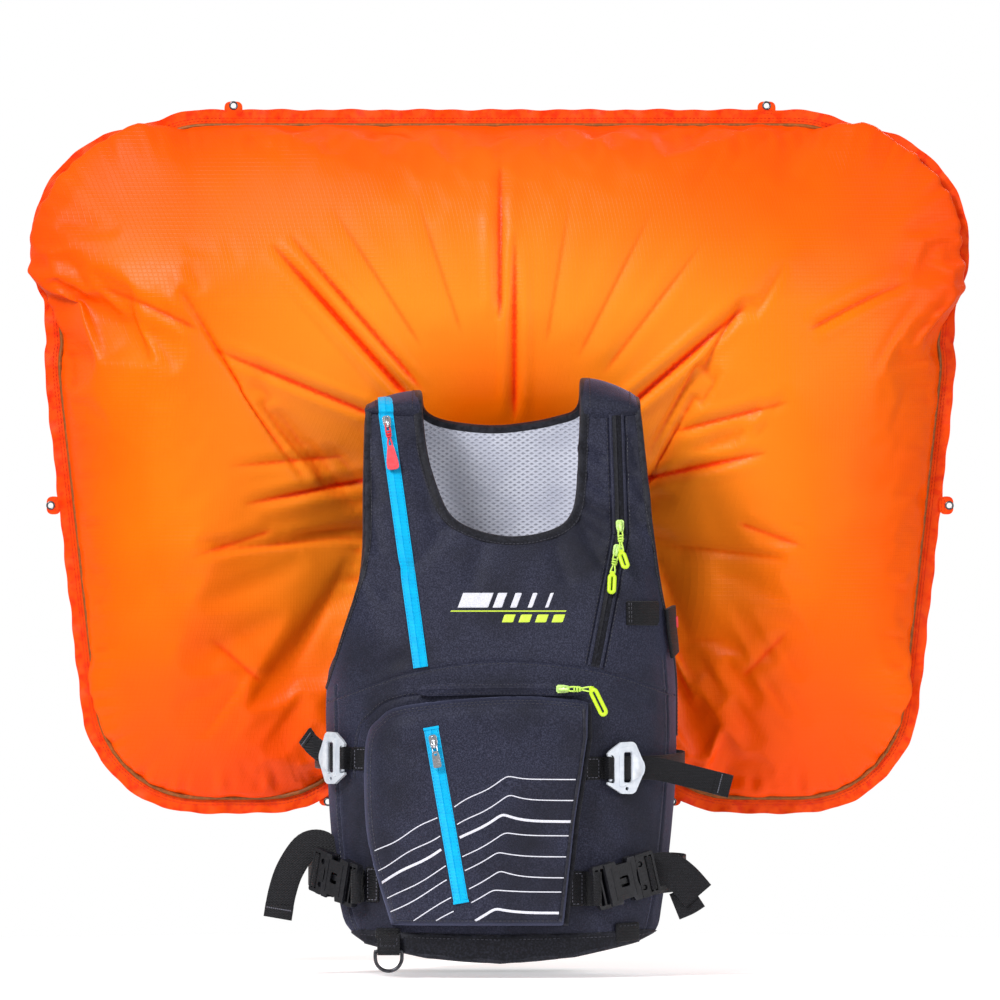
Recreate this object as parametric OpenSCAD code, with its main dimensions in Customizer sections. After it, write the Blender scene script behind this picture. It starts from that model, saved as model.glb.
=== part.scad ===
// Avalanche airbag vest with its airbag inflated.
// Millimetres. X runs to the wearer's left, Y from chest to back, Z up.
// The origin is on the back lining's face, on the centre line, at the hem.

/* [Vest] */
// Half the width of the vest at the waist
vest_half_w = 194; // [185:1:200]
// How far the belly stands in front of the side edges
vest_depth = 140; // [130:1:145]
// Distance from the back lining to the vest's side edges
side_gap = 45; // [40:1:50]
// Thickness of the front panel
panel_t = 4; // [3:0.5:5]
// Height where the tilted chest begins
chest_z = 300; // [295:1:305]
// Lean of the chest, degrees from upright
chest_lean = 15.5; // [15:0.1:16]
// Height where the shoulder yokes begin
shoulder_z = 600; // [598:1:602]
// Width of the bound edges
binding_w = 11; // [8:1:12]

/* [Pouch] */
// How far the cargo pouch stands out at its foot
pouch_depth = 27; // [24:1:30]
// Lean of the pouch front, degrees from upright
pouch_lean = 2; // [1.5:0.1:2.5]

/* [Zips] */
// Width of a zip tape
zip_w = 16; // [14:1:17]
// Thickness of a zip tape with its coil
zip_t = 1.6; // [1.2:0.1:1.8]
// Radius of the pin that a puller swings on
pull_pin_r = 0.8; // [0.6:0.1:0.9]

/* [Airbag] */
// Height of the middle of the airbag's top corners
bag_top_z = 802; // [795:1:808]
// Radius of the airbag's tubes
bag_r = 118; // [114:1:119]
// Distance of the airbag's seam plane behind the back lining
bag_y = 135; // [134:1:140]
// Width of the seam flange outside the bag
flange_w = 17; // [12:1:19]
// Thickness of the airbag's wall
bag_wall = 2; // [1.5:0.5:3]
// Thickness of the seam flange
flange_t = 3; // [2:0.5:4]
// Radius of the eyelets in the flange tabs
eyelet_r = 3; // [2.5:0.1:3.5]

/* [Pack] */
// Half the width of the pack
pack_half_w = 122; // [116:1:124]
// Height of the centre of the pack's round top
pack_arch_z = 346; // [340:1:348]
// Lowest point of the pack
pack_z0 = 25; // [20:1:30]
// Distance of the pack's front face behind the back lining
pack_y0 = 14; // [14:0.5:15]
// Distance of the pack's rear face behind the back lining
pack_y1 = 130; // [126:1:131]

/* [Gas system] */
// Radius of the gas cylinder
cylinder_r = 40; // [36:1:41]
// Height of the gas cylinder's straight wall
cylinder_h = 190; // [170:5:200]
// Radius of the valve pin
valve_pin_r = 4; // [3.5:0.5:4.5]

/* [Webbing and buckles] */
// Width of the upper webbing
web_small = 25; // [24:0.5:26]
// Width of the lower webbing
web_large = 38; // [37:0.5:39]
// Thickness of all webbing
web_t = 1.8; // [1.4:0.1:2.2]
// Wire radius of the D-ring
ring_wire_r = 2; // [1.5:0.1:2.2]

/* [Hidden] */

$fn = 48;
air = 0.3;          // gap left between pieces that are sewn together
front_y0 = -side_gap - vest_depth;

// Colours
charcoal = [0.17, 0.17, 0.21];
black = [0.05, 0.05, 0.06];
lining_grey = [0.74, 0.74, 0.80];
orange = [1.0, 0.42, 0.0];
flange_red = [0.9, 0.2, 0.02];
zip_blue = [0.0, 0.62, 0.86];
lime = [0.78, 0.94, 0.15];
coral = [1.0, 0.27, 0.35];
silver = [0.80, 0.82, 0.85];

// Edge lines of the front panel, seen from the front, from the shoulder to the hem
edge_right = [[-146, 600], [-146, 534], [-148, 440], [-174, 351], [-190, 300],
  [-187, 165], [-175, 60], [-163, 33], [-146, 21]];
edge_left = [[153, 600], [164, 494], [176, 407], [191, 330], [195, 245],
  [187, 134], [178, 66], [171, 34], [150, 23]];
neckline = [[-85, 600], [-80, 553], [-67, 511], [-52, 484], [-23, 469], [13, 463],
  [49, 468], [75, 482], [84, 515], [88, 600]];
hem_curve = [[-146, 21], [-80, 6], [0, 0], [80, 7], [150, 23]];
back_neck = [[-84, 600], [-66, 592], [-37, 587], [0, 585], [46, 591], [69, 597],
  [87, 600]];
back_side = [[148, 600], [150, 520], [152, 430], [170, 340], [185, 290],
  [185, 120], [176, 20], [150, 0]];
pouch_edge = [[-118, 41], [-143, 128], [-148, 200], [-145, 245], [-133, 264],
  [-103, 280], [8, 290], [86, 286], [96, 281]];

// ---------- curves ----------

// Point on a smooth curve between p1 and p2
function curve_point(p0, p1, p2, p3, t) =
  0.5 * (2 * p1 + (p2 - p0) * t + (2 * p0 - 5 * p1 + 4 * p2 - p3) * t * t
  + (3 * p1 - p0 - 3 * p2 + p3) * t * t * t);

// Smooth curve through every point of p, with n steps between points
function smooth(p, n = 3) = [
  for (i = [0 : len(p) - 2], j = [0 : n - 1])
    curve_point(p[max(i - 1, 0)], p[i], p[i + 1], p[min(i + 2, len(p) - 1)], j / n),
  p[len(p) - 1]];

function reverse(p) = [for (i = [len(p) - 1 : -1 : 0]) p[i]];
function flip_x(p) = [for (q = p) [-q[0], q[1]]];
function arc(c, r, a0, a1, n = 8) = [
  for (i = [0 : n]) let (a = a0 + (a1 - a0) * i / n) c + r * [cos(a), sin(a)]];

// Outline of a plate of size w by h with corners of radius r
function round_rect(w, h, r) = concat(
  arc([w / 2 - r, h / 2 - r], r, 0, 90, 5), arc([r - w / 2, h / 2 - r], r, 90, 180, 5),
  arc([r - w / 2, r - h / 2], r, 180, 270, 5), arc([w / 2 - r, r - h / 2], r, 270, 360, 5));

function unit(v) = v / norm(v);

// ---------- the body of the vest ----------

// The vest's outer curve seen from above; a runs from -90 to 90 degrees
function plan_point(a) = let (x = vest_half_w * sin(a))
  [x, -side_gap - vest_depth * pow(max(0, 1 - pow(abs(sin(a)), 3)), 1 / 2.2)];
function plan_offset(a, grow) =
  let (t = unit(plan_point(min(a + 0.5, 90)) - plan_point(max(a - 0.5, -90))))
  plan_point(a) + grow * [t[1], -t[0]];
function chest_y(z) = front_y0 + (z - chest_z) * tan(chest_lean);

// Everything inside the vest's outer surface, grown outwards
module torso(grow) {
  rear = 8;
  intersection() {
    translate([0, 0, -60]) linear_extrude(760)
      polygon(concat([for (a = [-90 : 6 : 90]) plan_offset(a, grow)],
        [[vest_half_w + grow, rear], [-vest_half_w - grow, rear]]));
    translate([-260, 0, 0]) rotate([90, 0, 90]) linear_extrude(520)
      polygon([[chest_y(-100) - grow / cos(chest_lean), -100],
        [chest_y(710) - grow / cos(chest_lean), 710], [40, 710], [40, -100]]);
  }
}

// A layer of the vest between two distances from its outer surface
module layer(inner, outer) {
  difference() {
    torso(outer);
    torso(inner);
  }
}

// A shape drawn in the front view, made deep enough to cut the vest's front
module front_shape(points) {
  translate([0, -20, 0]) rotate([90, 0, 0]) linear_extrude(260) polygon(points);
}

// A patch that lies on the vest like an applied strip
module patch(points, inner, outer) {
  intersection() {
    layer(inner, outer);
    front_shape(points);
  }
}

function box_points(x0, x1, z0, z1) = [[x0, z0], [x1, z0], [x1, z1], [x0, z1]];

// Children drawn on a leaning plane: Z runs up the plane, -Y stands out of it
module on_plane(x, y, z, turn, lean) {
  translate([x, y, z]) rotate([-lean, 0, 0]) rotate([0, turn, 0]) children();
}
module on_chest(x, z, turn) {
  on_plane(x, chest_y(z), z, turn, chest_lean) children();
}
// A point on the chest plane's frame, in the vest's frame
function chest_place(x, z, turn, p) =
  let (up = [0, sin(chest_lean), cos(chest_lean)], inward = [0, cos(chest_lean), -sin(chest_lean)])
  [x, chest_y(z), z] + p[0] * (cos(turn) * [1, 0, 0] - sin(turn) * up)
  + p[1] * inward + p[2] * (sin(turn) * [1, 0, 0] + cos(turn) * up);

// A round bar between two points, with a ball at its end
module bar(p, q, r) {
  d = q - p;
  translate(p) rotate([0, acos(d[2] / norm(d)), atan2(d[1], d[0])])
    cylinder(h = norm(d), r = r);
  translate(q) sphere(r * 1.06);
}
module path(points, r) {
  for (i = [0 : len(points) - 2]) bar(points[i], points[i + 1], r);
}

// A flat strip that follows a line seen from above
module strip(points, t, z0, h) {
  n = [for (i = [0 : len(points) - 1])
    let (d = unit(points[min(i + 1, len(points) - 1)] - points[max(i - 1, 0)])) [d[1], -d[0]]];
  translate([0, 0, z0]) linear_extrude(h)
    polygon(concat([for (i = [0 : len(points) - 1]) points[i] + n[i] * t],
      reverse(points)));
}

module front_panel() {
  color(charcoal) difference() {
    patch(concat(smooth(edge_right), smooth(hem_curve, 4), reverse(smooth(edge_left))),
      -panel_t, 0);
    front_shape(concat(smooth(neckline), [[88, 640], [-85, 640]]));
  }
}

module neck_binding() {
  shift = [for (i = [0 : len(neckline) - 1])
    let (d = unit(neckline[min(i + 1, len(neckline) - 1)] - neckline[max(i - 1, 0)]))
    neckline[i] + binding_w * [d[1], -d[0]]];
  color(black) {
    patch(concat(smooth(neckline), reverse(smooth(shift))), air, air + 1.5);
    translate([0, 14 - air, 0]) rotate([90, 0, 0]) linear_extrude(1.5)
      polygon(concat(smooth(back_neck), reverse([for (p = smooth(back_neck)) p - [0, 9]])));
  }
}

module armhole_bindings() {
  inset = binding_w * 0.6;
  color(black) for (edge = [edge_right, edge_left]) {
    s = sign(edge[0][0]);
    line = smooth([for (i = [0 : 3]) edge[i]]);
    patch(concat(line, reverse([for (p = line) p - [s * inset, 0]])), air, air + 1.5);
  }
}

module back_shape(grow) {
  side = smooth([for (p = back_side) [p[0] + grow, max(p[1], 0)]]);
  polygon(concat(smooth(back_neck), side, reverse(flip_x(side))));
}
module back_sheet(y, t, grow) {
  translate([0, y + t, 0]) rotate([90, 0, 0]) linear_extrude(t) back_shape(grow);
}
cable_hole = [-104, 560];
module cable_cut() {
  translate([cable_hole[0], -5, cable_hole[1]]) rotate([-90, 0, 0]) cylinder(h = 30, r = 4);
}
module back_lining() {
  color(lining_grey) difference() {
    back_sheet(0, 3 - air, -5);
    cable_cut();
  }
}
module back_panel() {
  color(charcoal) difference() {
    back_sheet(3, 9, 0);
    cable_cut();
  }
}

// One padded arch over a shoulder
module shoulder_yoke(x0, x1, rise) {
  half = 54;
  thick = 8;
  mid = -47.5;
  outer = [for (a = [0 : 15 : 180]) [mid + (half + thick / 2) * cos(a),
    shoulder_z + 0.5 + (rise + thick / 2) * sin(a)]];
  inner = [for (a = [180 : -15 : 0]) [mid + (half - thick / 2) * cos(a),
    shoulder_z + 0.5 + (rise - thick / 2) * sin(a)]];
  translate([x0, 0, 0]) rotate([90, 0, 90]) linear_extrude(x1 - x0)
    polygon(concat(outer, inner));
}
module shoulder_yokes() {
  color(charcoal) {
    shoulder_yoke(-146, -86, 17);
    shoulder_yoke(88, 152, 31);
  }
}

// ---------- pouch and hem ----------

pouch_foot_y = front_y0 - pouch_depth;
function pouch_y(z) = pouch_foot_y + (z - 60) * tan(pouch_lean);

module cargo_pouch() {
  color(charcoal) intersection() {
    patch(concat(smooth(pouch_edge), [[95, 245], [81, 153], [69, 41]]), air, pouch_depth + 1);
    translate([-200, 0, 0]) rotate([90, 0, 90]) linear_extrude(400)
      polygon([[pouch_y(60) + 12, 38], [pouch_y(60), 60], [pouch_y(272), 272],
        [pouch_y(272) + 8, 292], [0, 292], [0, 38]]);
  }
}

module hem_band() {
  color(black) patch(concat(smooth(hem_curve, 4), [[171, 34], [-163, 33]]), air, air + 3);
}

ring_x = -121;
ring_z = 13;
ring_y = -181.5;
module hem_loops() {
  color(black) {
    // folded webbing that holds the D-ring's bar
    difference() {
      union() {
        translate([ring_x - 12.3, ring_y, ring_z]) rotate([0, 90, 0]) cylinder(h = 24.6, r = 4.6);
        translate([ring_x - 12.3, ring_y - 4.6, ring_z]) cube([24.6, 9.2, 19]);
      }
      translate([ring_x - 13, ring_y, ring_z]) rotate([0, 90, 0]) cylinder(h = 26, r = 2.6);
    }
    patch(box_points(124, 149, 34.8, 44), air, air + 4);
  }
}

module d_ring() {
  r = 14.5;
  drop = 7;
  color(black) translate([ring_x, ring_y, ring_z]) {
    translate([-r, 0, 0]) rotate([0, 90, 0]) cylinder(h = 2 * r, r = ring_wire_r);
    for (s = [-1, 1]) translate([s * r, 0, -drop]) cylinder(h = drop, r = ring_wire_r);
    for (s = [-1, 1]) translate([s * r, 0, 0]) sphere(ring_wire_r);
    translate([0, 0, -drop]) rotate([90, 0, 0]) rotate([0, 0, 180])
      rotate_extrude(angle = 180) translate([r, 0]) circle(ring_wire_r);
  }
}

// ---------- zips ----------

// A straight zip with a raised coil, from height 0 to length
module zip(length) {
  translate([-zip_w / 2, -air - 1, 0]) cube([zip_w, 1, length]);
  translate([-3, -air - zip_t, 1]) cube([6, zip_t, length - 2]);
}

slider_y = -air - zip_t - 0.3;   // underside of a slider
pull_y = slider_y - 5.4;         // pin of a slider
pull_z = -4;
module slider() {
  translate([0, slider_y, 0]) {
    rotate([90, 0, 0]) linear_extrude(3) polygon(round_rect(9, 14, 2.5));
    for (s = [-1, 1]) translate([s * 3.7 - 0.6, -7, pull_z - 2]) cube([1.2, 4.5, 4]);
    translate([-3.7, -5.4, pull_z]) rotate([0, 90, 0]) cylinder(h = 7.4, r = pull_pin_r);
  }
}

// A cord and tab that hang from a slider's pin, bent sideways and tipped outwards
module puller(cord, tab_l, tab_w, bend = 0, tip = 0) {
  translate([0, pull_y, pull_z]) rotate([tip, 0, 0]) {
    difference() {
      union() {
        translate([-2, 0, 0]) rotate([0, 90, 0]) cylinder(h = 4, r = 2.2);
        translate([-1.2, -1, -cord]) cube([2.4, 2, cord]);
      }
      translate([-3, 0, 0]) rotate([0, 90, 0]) cylinder(h = 6, r = 1.1);
    }
    translate([0, 0, -cord]) rotate([0, bend, 0]) translate([0, 1.2, -tab_l / 2 + 1])
      rotate([90, 0, 0]) linear_extrude(2.4) polygon(round_rect(tab_w, tab_l, 3));
  }
}

// The shoulder zip covers the trigger on the wearer's right
shoulder_foot = [-86, 320];
shoulder_turn = -7.7;
shoulder_len = 286;
shoulder_top = 280;
module shoulder_zip() {
  color(zip_blue) on_chest(shoulder_foot[0], shoulder_foot[1], shoulder_turn) zip(shoulder_len);
}
module on_shoulder_zip(up) {
  on_chest(shoulder_foot[0], shoulder_foot[1], shoulder_turn) translate([0, 0, up]) children();
}
module shoulder_zip_slider() { color(coral) on_shoulder_zip(shoulder_top) slider(); }
module shoulder_zip_puller() { color(coral) on_shoulder_zip(shoulder_top) puller(26, 26, 13); }

// The chest zip turns at a corner, with one slider on each side of it
corner = [131, 466];
upper_turn = -1.8;
lower_turn = 10.6;
upper_start = 8;
lower_start = -20;
module chest_zip() {
  color(black) {
    on_chest(corner[0], corner[1], upper_turn) zip(136);
    on_chest(corner[0], corner[1], lower_turn) translate([0, 0, -141]) zip(138);
  }
}
module chest_zip_slider_upper() {
  color(lime) on_chest(corner[0], corner[1], upper_turn) translate([0, 0, upper_start]) slider();
}
module chest_zip_puller_upper() {
  color(lime) on_chest(corner[0], corner[1], upper_turn) translate([0, 0, upper_start])
    puller(30, 22, 10, -14, -14);
}
module chest_zip_slider_lower() {
  color(lime) on_chest(corner[0], corner[1], lower_turn) translate([0, 0, lower_start]) slider();
}
module chest_zip_puller_lower() {
  color(lime) on_chest(corner[0], corner[1], lower_turn) translate([0, 0, lower_start])
    puller(24, 24, 10, -8);
}

// The pouch zip runs across, above the pouch's top edge
pouch_zip_y = front_y0 - 4;
pouch_zip_z = 298;
pouch_slider_x = 68;
module pouch_zip() {
  half = 92;
  color(black) intersection() {
    layer(air, 12);
    translate([-half, pouch_zip_y, pouch_zip_z - 6]) cube([2 * half, 60, 12]);
  }
}
module on_pouch_zip() {
  translate([pouch_slider_x, pouch_zip_y + air + zip_t, pouch_zip_z]) rotate([0, -90, 0])
    children();
}
module pouch_zip_slider() { color(lime) on_pouch_zip() slider(); }
module pouch_zip_puller() { color(lime) on_pouch_zip() puller(30, 34, 11, 62, -22); }

// The pocket zip lies on the pouch's front
pocket_foot = [-42, 66];
pocket_turn = -9.8;
pocket_len = 194;
pocket_top = 178;
module on_pocket_zip(up) {
  on_plane(pocket_foot[0], pouch_y(pocket_foot[1]), pocket_foot[1], pocket_turn, pouch_lean)
    translate([0, 0, up]) children();
}
module pocket_zip() { color(zip_blue) on_pocket_zip(0) zip(pocket_len); }
module pocket_zip_slider() { color(silver) on_pocket_zip(pocket_top) slider(); }
module pocket_zip_puller() { color(silver) on_pocket_zip(pocket_top) puller(8, 18, 9); }

// ---------- webbing and buckles ----------

module chest_webbing() {
  color(black) {
    patch(box_points(139, 165, 367, 393), air, air + 2);
    patch(box_points(167, 183, 336, 385), air + 1.8, air + 4);
  }
}
module hook_webbing() {
  color(black) {
    patch(box_points(97, 113, 199, 224), air, air + 2.2);
    patch(box_points(-169, -153, 209, 234), air, air + 2.2);
    hook_place_left() webbing_eye();
    hook_place_right() webbing_eye();
  }
}
// The rolled end of the webbing that a hook buckle's bar turns in
module webbing_eye() {
  translate(hook_bar) difference() {
    cylinder(h = 14, r = 3.8, center = true);
    cylinder(h = 16, r = 2.3, center = true);
  }
}
module buckle_webbing() {
  color(black) {
    patch(box_points(84, 104, 62, 100), air, air + 2.2);
    patch(box_points(-161, -143, 66, 104), air, air + 2.2);
  }
}

// Frames of the buckles: X runs along the strap, -Y stands out of the vest.
// The right side is the mirror image, with its own place.
module hook_place_left() {
  translate([136, -170, 212]) rotate([0, 0, 27]) children();
}
module hook_place_right() {
  mirror([1, 0, 0]) translate([181, -128, 222]) rotate([0, 0, 52]) children();
}
module buckle_place_left() {
  translate([136, -174, 90]) rotate([0, 0, 27]) rotate([0, -14, 0]) children();
}
module buckle_place_right() {
  mirror([1, 0, 0]) translate([179, -138, 92]) rotate([0, 0, 50]) rotate([0, -14, 0]) children();
}

// A hook buckle: a slotted plate with two claws on its inner side
hook_w = 38;
hook_h = 57;
hook_t = 4;
hook_bar = [-19, -hook_t / 2, 0];
module hook_buckle() {
  color(silver) translate(hook_bar) cylinder(h = 20, r = 2, center = true);
  color(silver) translate([3, 0, 0]) rotate([90, 0, 0]) difference() {
    union() {
      linear_extrude(hook_t) polygon(round_rect(hook_w, hook_h, 11));
      for (s = [-1, 1]) translate([-hook_w / 2 - 1, s * 15, 0]) linear_extrude(hook_t)
        polygon(round_rect(14, 14, 4));
    }
    translate([0, 0, -1]) linear_extrude(hook_t + 2) polygon(round_rect(12, 34, 4));
    translate([-hook_w / 2 - 3, 0, -1]) linear_extrude(hook_t + 2) polygon(round_rect(10, 18, 4));
    translate([13, 0, -1]) linear_extrude(hook_t + 2) polygon(round_rect(3.5, 27, 1.5));
  }
}
module hook_buckle_left() { hook_place_left() hook_buckle(); }
module hook_buckle_right() { hook_place_right() hook_buckle(); }

// Side-release buckle: the socket, with its ladder, then the plug and its two prongs
mouth_x = 14;
buckle_h = 48;
module buckle_socket() {
  difference() {
    translate([mouth_x - 38, 0, 0]) {
      translate([0, -6, -buckle_h / 2]) cube([38, 12, buckle_h]);
      translate([-14, -4, -buckle_h / 2]) cube([14.01, 8, buckle_h]);
    }
    translate([mouth_x - 31, -3.6, -20]) cube([32, 7.2, 40]);
    for (s = [-1, 1]) translate([mouth_x - 24, -3.6, s * 22 - 3]) cube([15, 7.2, 6]);
    for (i = [0, 1]) translate([mouth_x - 49 + 6 * i, -5, -20]) cube([3.4, 10, 40]);
  }
}
module buckle_sockets() {
  color(black) {
    buckle_place_left() buckle_socket();
    buckle_place_right() buckle_socket();
  }
}
prong_z = 13;
prong_x = mouth_x + 5;
module buckle_plug() {
  color(black) difference() {
    union() {
      translate([mouth_x + 0.5, -5.5, -buckle_h / 2]) cube([10, 11, buckle_h]);
      translate([mouth_x + 10, -4, -buckle_h / 2]) cube([14, 8, buckle_h]);
      translate([mouth_x - 26, -2.8, -3.5]) cube([27, 5.6, 7]);
    }
    for (i = [0, 1]) translate([mouth_x + 12.5 + 5.5 * i, -6, -20]) cube([3, 12, 40]);
    for (s = [-1, 1]) {
      translate([prong_x, 0, s * prong_z]) rotate([90, 0, 0])
        cylinder(h = 14, r = 3.4, center = true);
      translate([mouth_x, -7, s * prong_z - 3.4]) cube([5, 14, 6.8]);
    }
  }
}
// One springy prong; side is 1 for the upper one and -1 for the lower one
module prong(side) {
  color(black) translate([prong_x, 0, side * prong_z]) {
    rotate([90, 0, 0]) cylinder(h = 5.6, r = 2.9, center = true);
    translate([-27, -2.8, -1.8]) cube([27, 5.6, 3.6]);
    translate([-29, -2.8, side > 0 ? -1.8 : -4.6]) cube([12, 5.6, 6.4]);
  }
}
module buckle_plug_left() { buckle_place_left() buckle_plug(); }
module buckle_plug_right() { buckle_place_right() buckle_plug(); }
module prong_upper_left() { buckle_place_left() prong(1); }
module prong_lower_left() { buckle_place_left() prong(-1); }
module prong_upper_right() { buckle_place_right() prong(1); }
module prong_lower_right() { buckle_place_right() prong(-1); }

// Straps run from the buckles round the sides to the back panel
module upper_straps() {
  color(black) {
    strip([[166, -144], [184, -118], [199, -80], [201, -40], [188, 1]], web_t, 204, web_small);
    translate([167, -148, 218]) rotate([0, 15, 14]) translate([0, 0, -web_small / 2])
      cube([88, web_t, web_small]);
    mirror([1, 0, 0]) {
      strip([[194, -100], [202, -60], [200, -30], [188, 1]], web_t, 210, web_small);
      translate([201, -104, 226]) rotate([0, 20, 70]) translate([0, 0, -web_small / 2])
        cube([40, web_t, web_small]);
    }
  }
}
module lower_straps() {
  color(black) {
    strip([[176, -123], [197, -90], [203, -50], [201, -25], [188, 1]], web_t, 78, web_large);
    mirror([1, 0, 0]) {
      strip([[209, -72], [207, -45], [201, -22], [188, 1]], web_t, 82, web_large);
    }
    buckle_place_left() tail(52, 84);
    buckle_place_right() tail(62, 92);
  }
}
// The loose end of a lower strap: out behind the plug, then down
module tail(slope, length) {
  translate([40, 9, 20]) rotate([0, slope, 0]) translate([0, 0, -15])
    cube([length, web_t, 30]);
}

// ---------- pack ----------

function pack_outline(inset) = let (w = pack_half_w - inset, r = 40 - inset) concat(
  arc([0, pack_arch_z], w, 0, 180, 24),
  arc([r - w, pack_z0 + inset + r], r, 180, 270, 6),
  arc([w - r, pack_z0 + inset + r], r, 270, 360, 6));
module pack_block(inset, y0, y1) {
  translate([0, y1, 0]) rotate([90, 0, 0]) linear_extrude(y1 - y0) polygon(pack_outline(inset));
}
ejector_y = 100;
cable_entry = [-80, 20, 470];
module pack_shell() {
  color(charcoal) difference() {
    pack_block(0, pack_y0, pack_y1);
    pack_block(2, pack_y0 + 2, pack_y1 - 2);
    translate([0, ejector_y, 400]) cylinder(h = 90, r = 27);
    translate([cable_entry[0], cable_entry[1], 400]) cylinder(h = 80, r = 4);
  }
}
module back_frame() {
  color([0.1, 0.1, 0.11]) translate([0, pack_y0 + 6, 0]) rotate([90, 0, 0]) linear_extrude(3)
    polygon(round_rect_at(0, 205, 200, 320, 30));
}
function round_rect_at(x, z, w, h, r) = [for (p = round_rect(w, h, r)) p + [x, z]];

module haul_loop() {
  color(black) difference() {
    translate([0, pack_y0 + 7, 484]) rotate([90, 0, 0]) linear_extrude(5)
      polygon(round_rect(74, 60, 20));
    translate([0, pack_y0 + 8, 486]) rotate([90, 0, 0]) linear_extrude(8)
      polygon(round_rect(62, 50, 15));
    pack_block(-air, pack_y0 - 1, pack_y1);
  }
}

rear_zip_x = -78;
rear_zip_z0 = 70;
rear_zip_len = 260;
rear_slider_up = 240;
module on_rear_zip(up) {
  translate([rear_zip_x, pack_y1, rear_zip_z0 + up]) rotate([0, 0, 180]) children();
}
module rear_zip() {
  rise = 14;
  color(black) {
    on_rear_zip(0) zip(rear_zip_len);
    translate([0, pack_y1 + air + 1, rear_zip_z0 + rear_zip_len]) rotate([90, 0, 0])
      linear_extrude(1) polygon(concat(
        arc([0, 0], 86, 0, 180, 16), arc([0, 0], 70, 180, 0, 16)));
    translate([78, pack_y1, rear_zip_z0]) rotate([0, 0, 180]) zip(rear_zip_len);
  }
}
module rear_zip_slider() { color(silver) on_rear_zip(rear_slider_up) slider(); }
module rear_zip_puller() { color(lime) on_rear_zip(rear_slider_up) puller(18, 24, 10); }

// Strips that join the pack's sides to the airbag's inner seam
module burst_flaps() {
  foot_z = 150;
  height = 190;
  color(black) for (s = [0, 1]) mirror([s, 0, 0]) {
    translate([pack_half_w + air, pack_y1 - 14, foot_z]) cube([2, 17, height]);
    translate([pack_half_w + air, pack_y1 + 1, foot_z]) cube([7, 2, height]);
  }
}

// ---------- airbag ----------

bag_corner = [387, 785];
bag_shoulder = [325, bag_top_z];
bag_waist = [373, 652];
bag_foot = [333, 288];
bag_foot_inner = [260, 288];
bag_bridge = [200, 608];
hole_r = 40;
arm_r = bag_r - 1.5;

// Outline of the inflated bag at its seam, grown outwards
function bag_half(grow) = let (r = bag_r + grow, a = arm_r + grow) concat(
  arc(bag_shoulder, r, 90, 66), arc(bag_corner, r, 66, -28), arc(bag_waist, a, 12, -5, 4),
  arc(bag_foot, a, -6, -90, 8), arc(bag_foot_inner, a, -90, -180, 8),
  arc([bag_foot_inner[0] - arm_r - hole_r, 450], hole_r - grow, 0, 90, 4));
function bag_outline(grow) = concat(bag_half(grow), reverse(flip_x(bag_half(grow))));

module bag_ball(p, r) {
  translate([p[0], bag_y, p[1]]) sphere(r, $fn = 24);
}
module bag_form(inset) {
  hull() for (s = [-1, 1], p = [bag_corner, bag_shoulder, bag_bridge])
    bag_ball([s * p[0], p[1]], bag_r - inset);
  for (s = [-1, 1]) hull()
    for (p = [bag_waist, bag_foot, bag_foot_inner, [bag_foot_inner[0], 650]])
      bag_ball([s * p[0], p[1]], arm_r - inset);
}
module airbag() {
  color(orange) difference() {
    bag_form(0);
    bag_form(bag_wall);
    translate([0, ejector_y, ejector_z0 + 60]) cylinder(h = 60, r = ejector_r + air);
  }
}

// Each tab is [x, z, angle of the tab's outward direction]
tabs = [[296, 941, 90], [-296, 941, 90], [499, 497, 0], [-499, 497, 180],
  [191, 168, -90], [-191, 168, -90]];
module airbag_seam() {
  color(flange_red) translate([0, bag_y + flange_t / 2, 0]) rotate([90, 0, 0]) difference() {
    union() {
      linear_extrude(flange_t) polygon(bag_outline(flange_w));
      for (t = tabs) translate([t[0], t[1], 0]) rotate(t[2] - 90) translate([0, -3, 0])
        linear_extrude(flange_t) polygon(round_rect(22, 18, 5));
    }
    translate([0, 0, -1]) linear_extrude(flange_t + 2) polygon(bag_outline(-4));
    for (t = tabs) translate([t[0], t[1], -1]) cylinder(h = flange_t + 2, r = eyelet_r);
  }
}

// ---------- gas system ----------

gas_x = 50;
gas_y = 74;
gas_z = 60;
neck_z = gas_z + cylinder_h + 30;

module gas_cylinder() {
  dome = 26;
  foot_r = 12;
  wall = 3;
  bore = 5;
  color(silver) translate([gas_x, gas_y, 0]) rotate_extrude() polygon(concat(
    [[0, gas_z - foot_r]],
    arc([cylinder_r - foot_r, gas_z], foot_r, -90, 0, 5),
    arc([cylinder_r - dome, gas_z + cylinder_h], dome, 0, 80, 6),
    [[11, neck_z - 2], [11, neck_z + 8], [bore, neck_z + 8], [bore, neck_z - 6]],
    arc([cylinder_r - dome, gas_z + cylinder_h], dome - wall, 80, 0, 6),
    arc([cylinder_r - foot_r, gas_z], foot_r - wall, 0, -90, 5),
    [[0, gas_z - foot_r + wall]]));
}
module cylinder_cradle() {
  gap = 1;
  color(black) for (z = [85, 200]) difference() {
    union() {
      translate([gas_x, gas_y, z]) cylinder(h = 18, r = cylinder_r + gap + 3);
      translate([gas_x - 22, pack_y0 + 6 + air, z]) cube([44, 30, 18]);
    }
    translate([gas_x, gas_y, z - 1]) cylinder(h = 20, r = cylinder_r + gap);
  }
}

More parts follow.
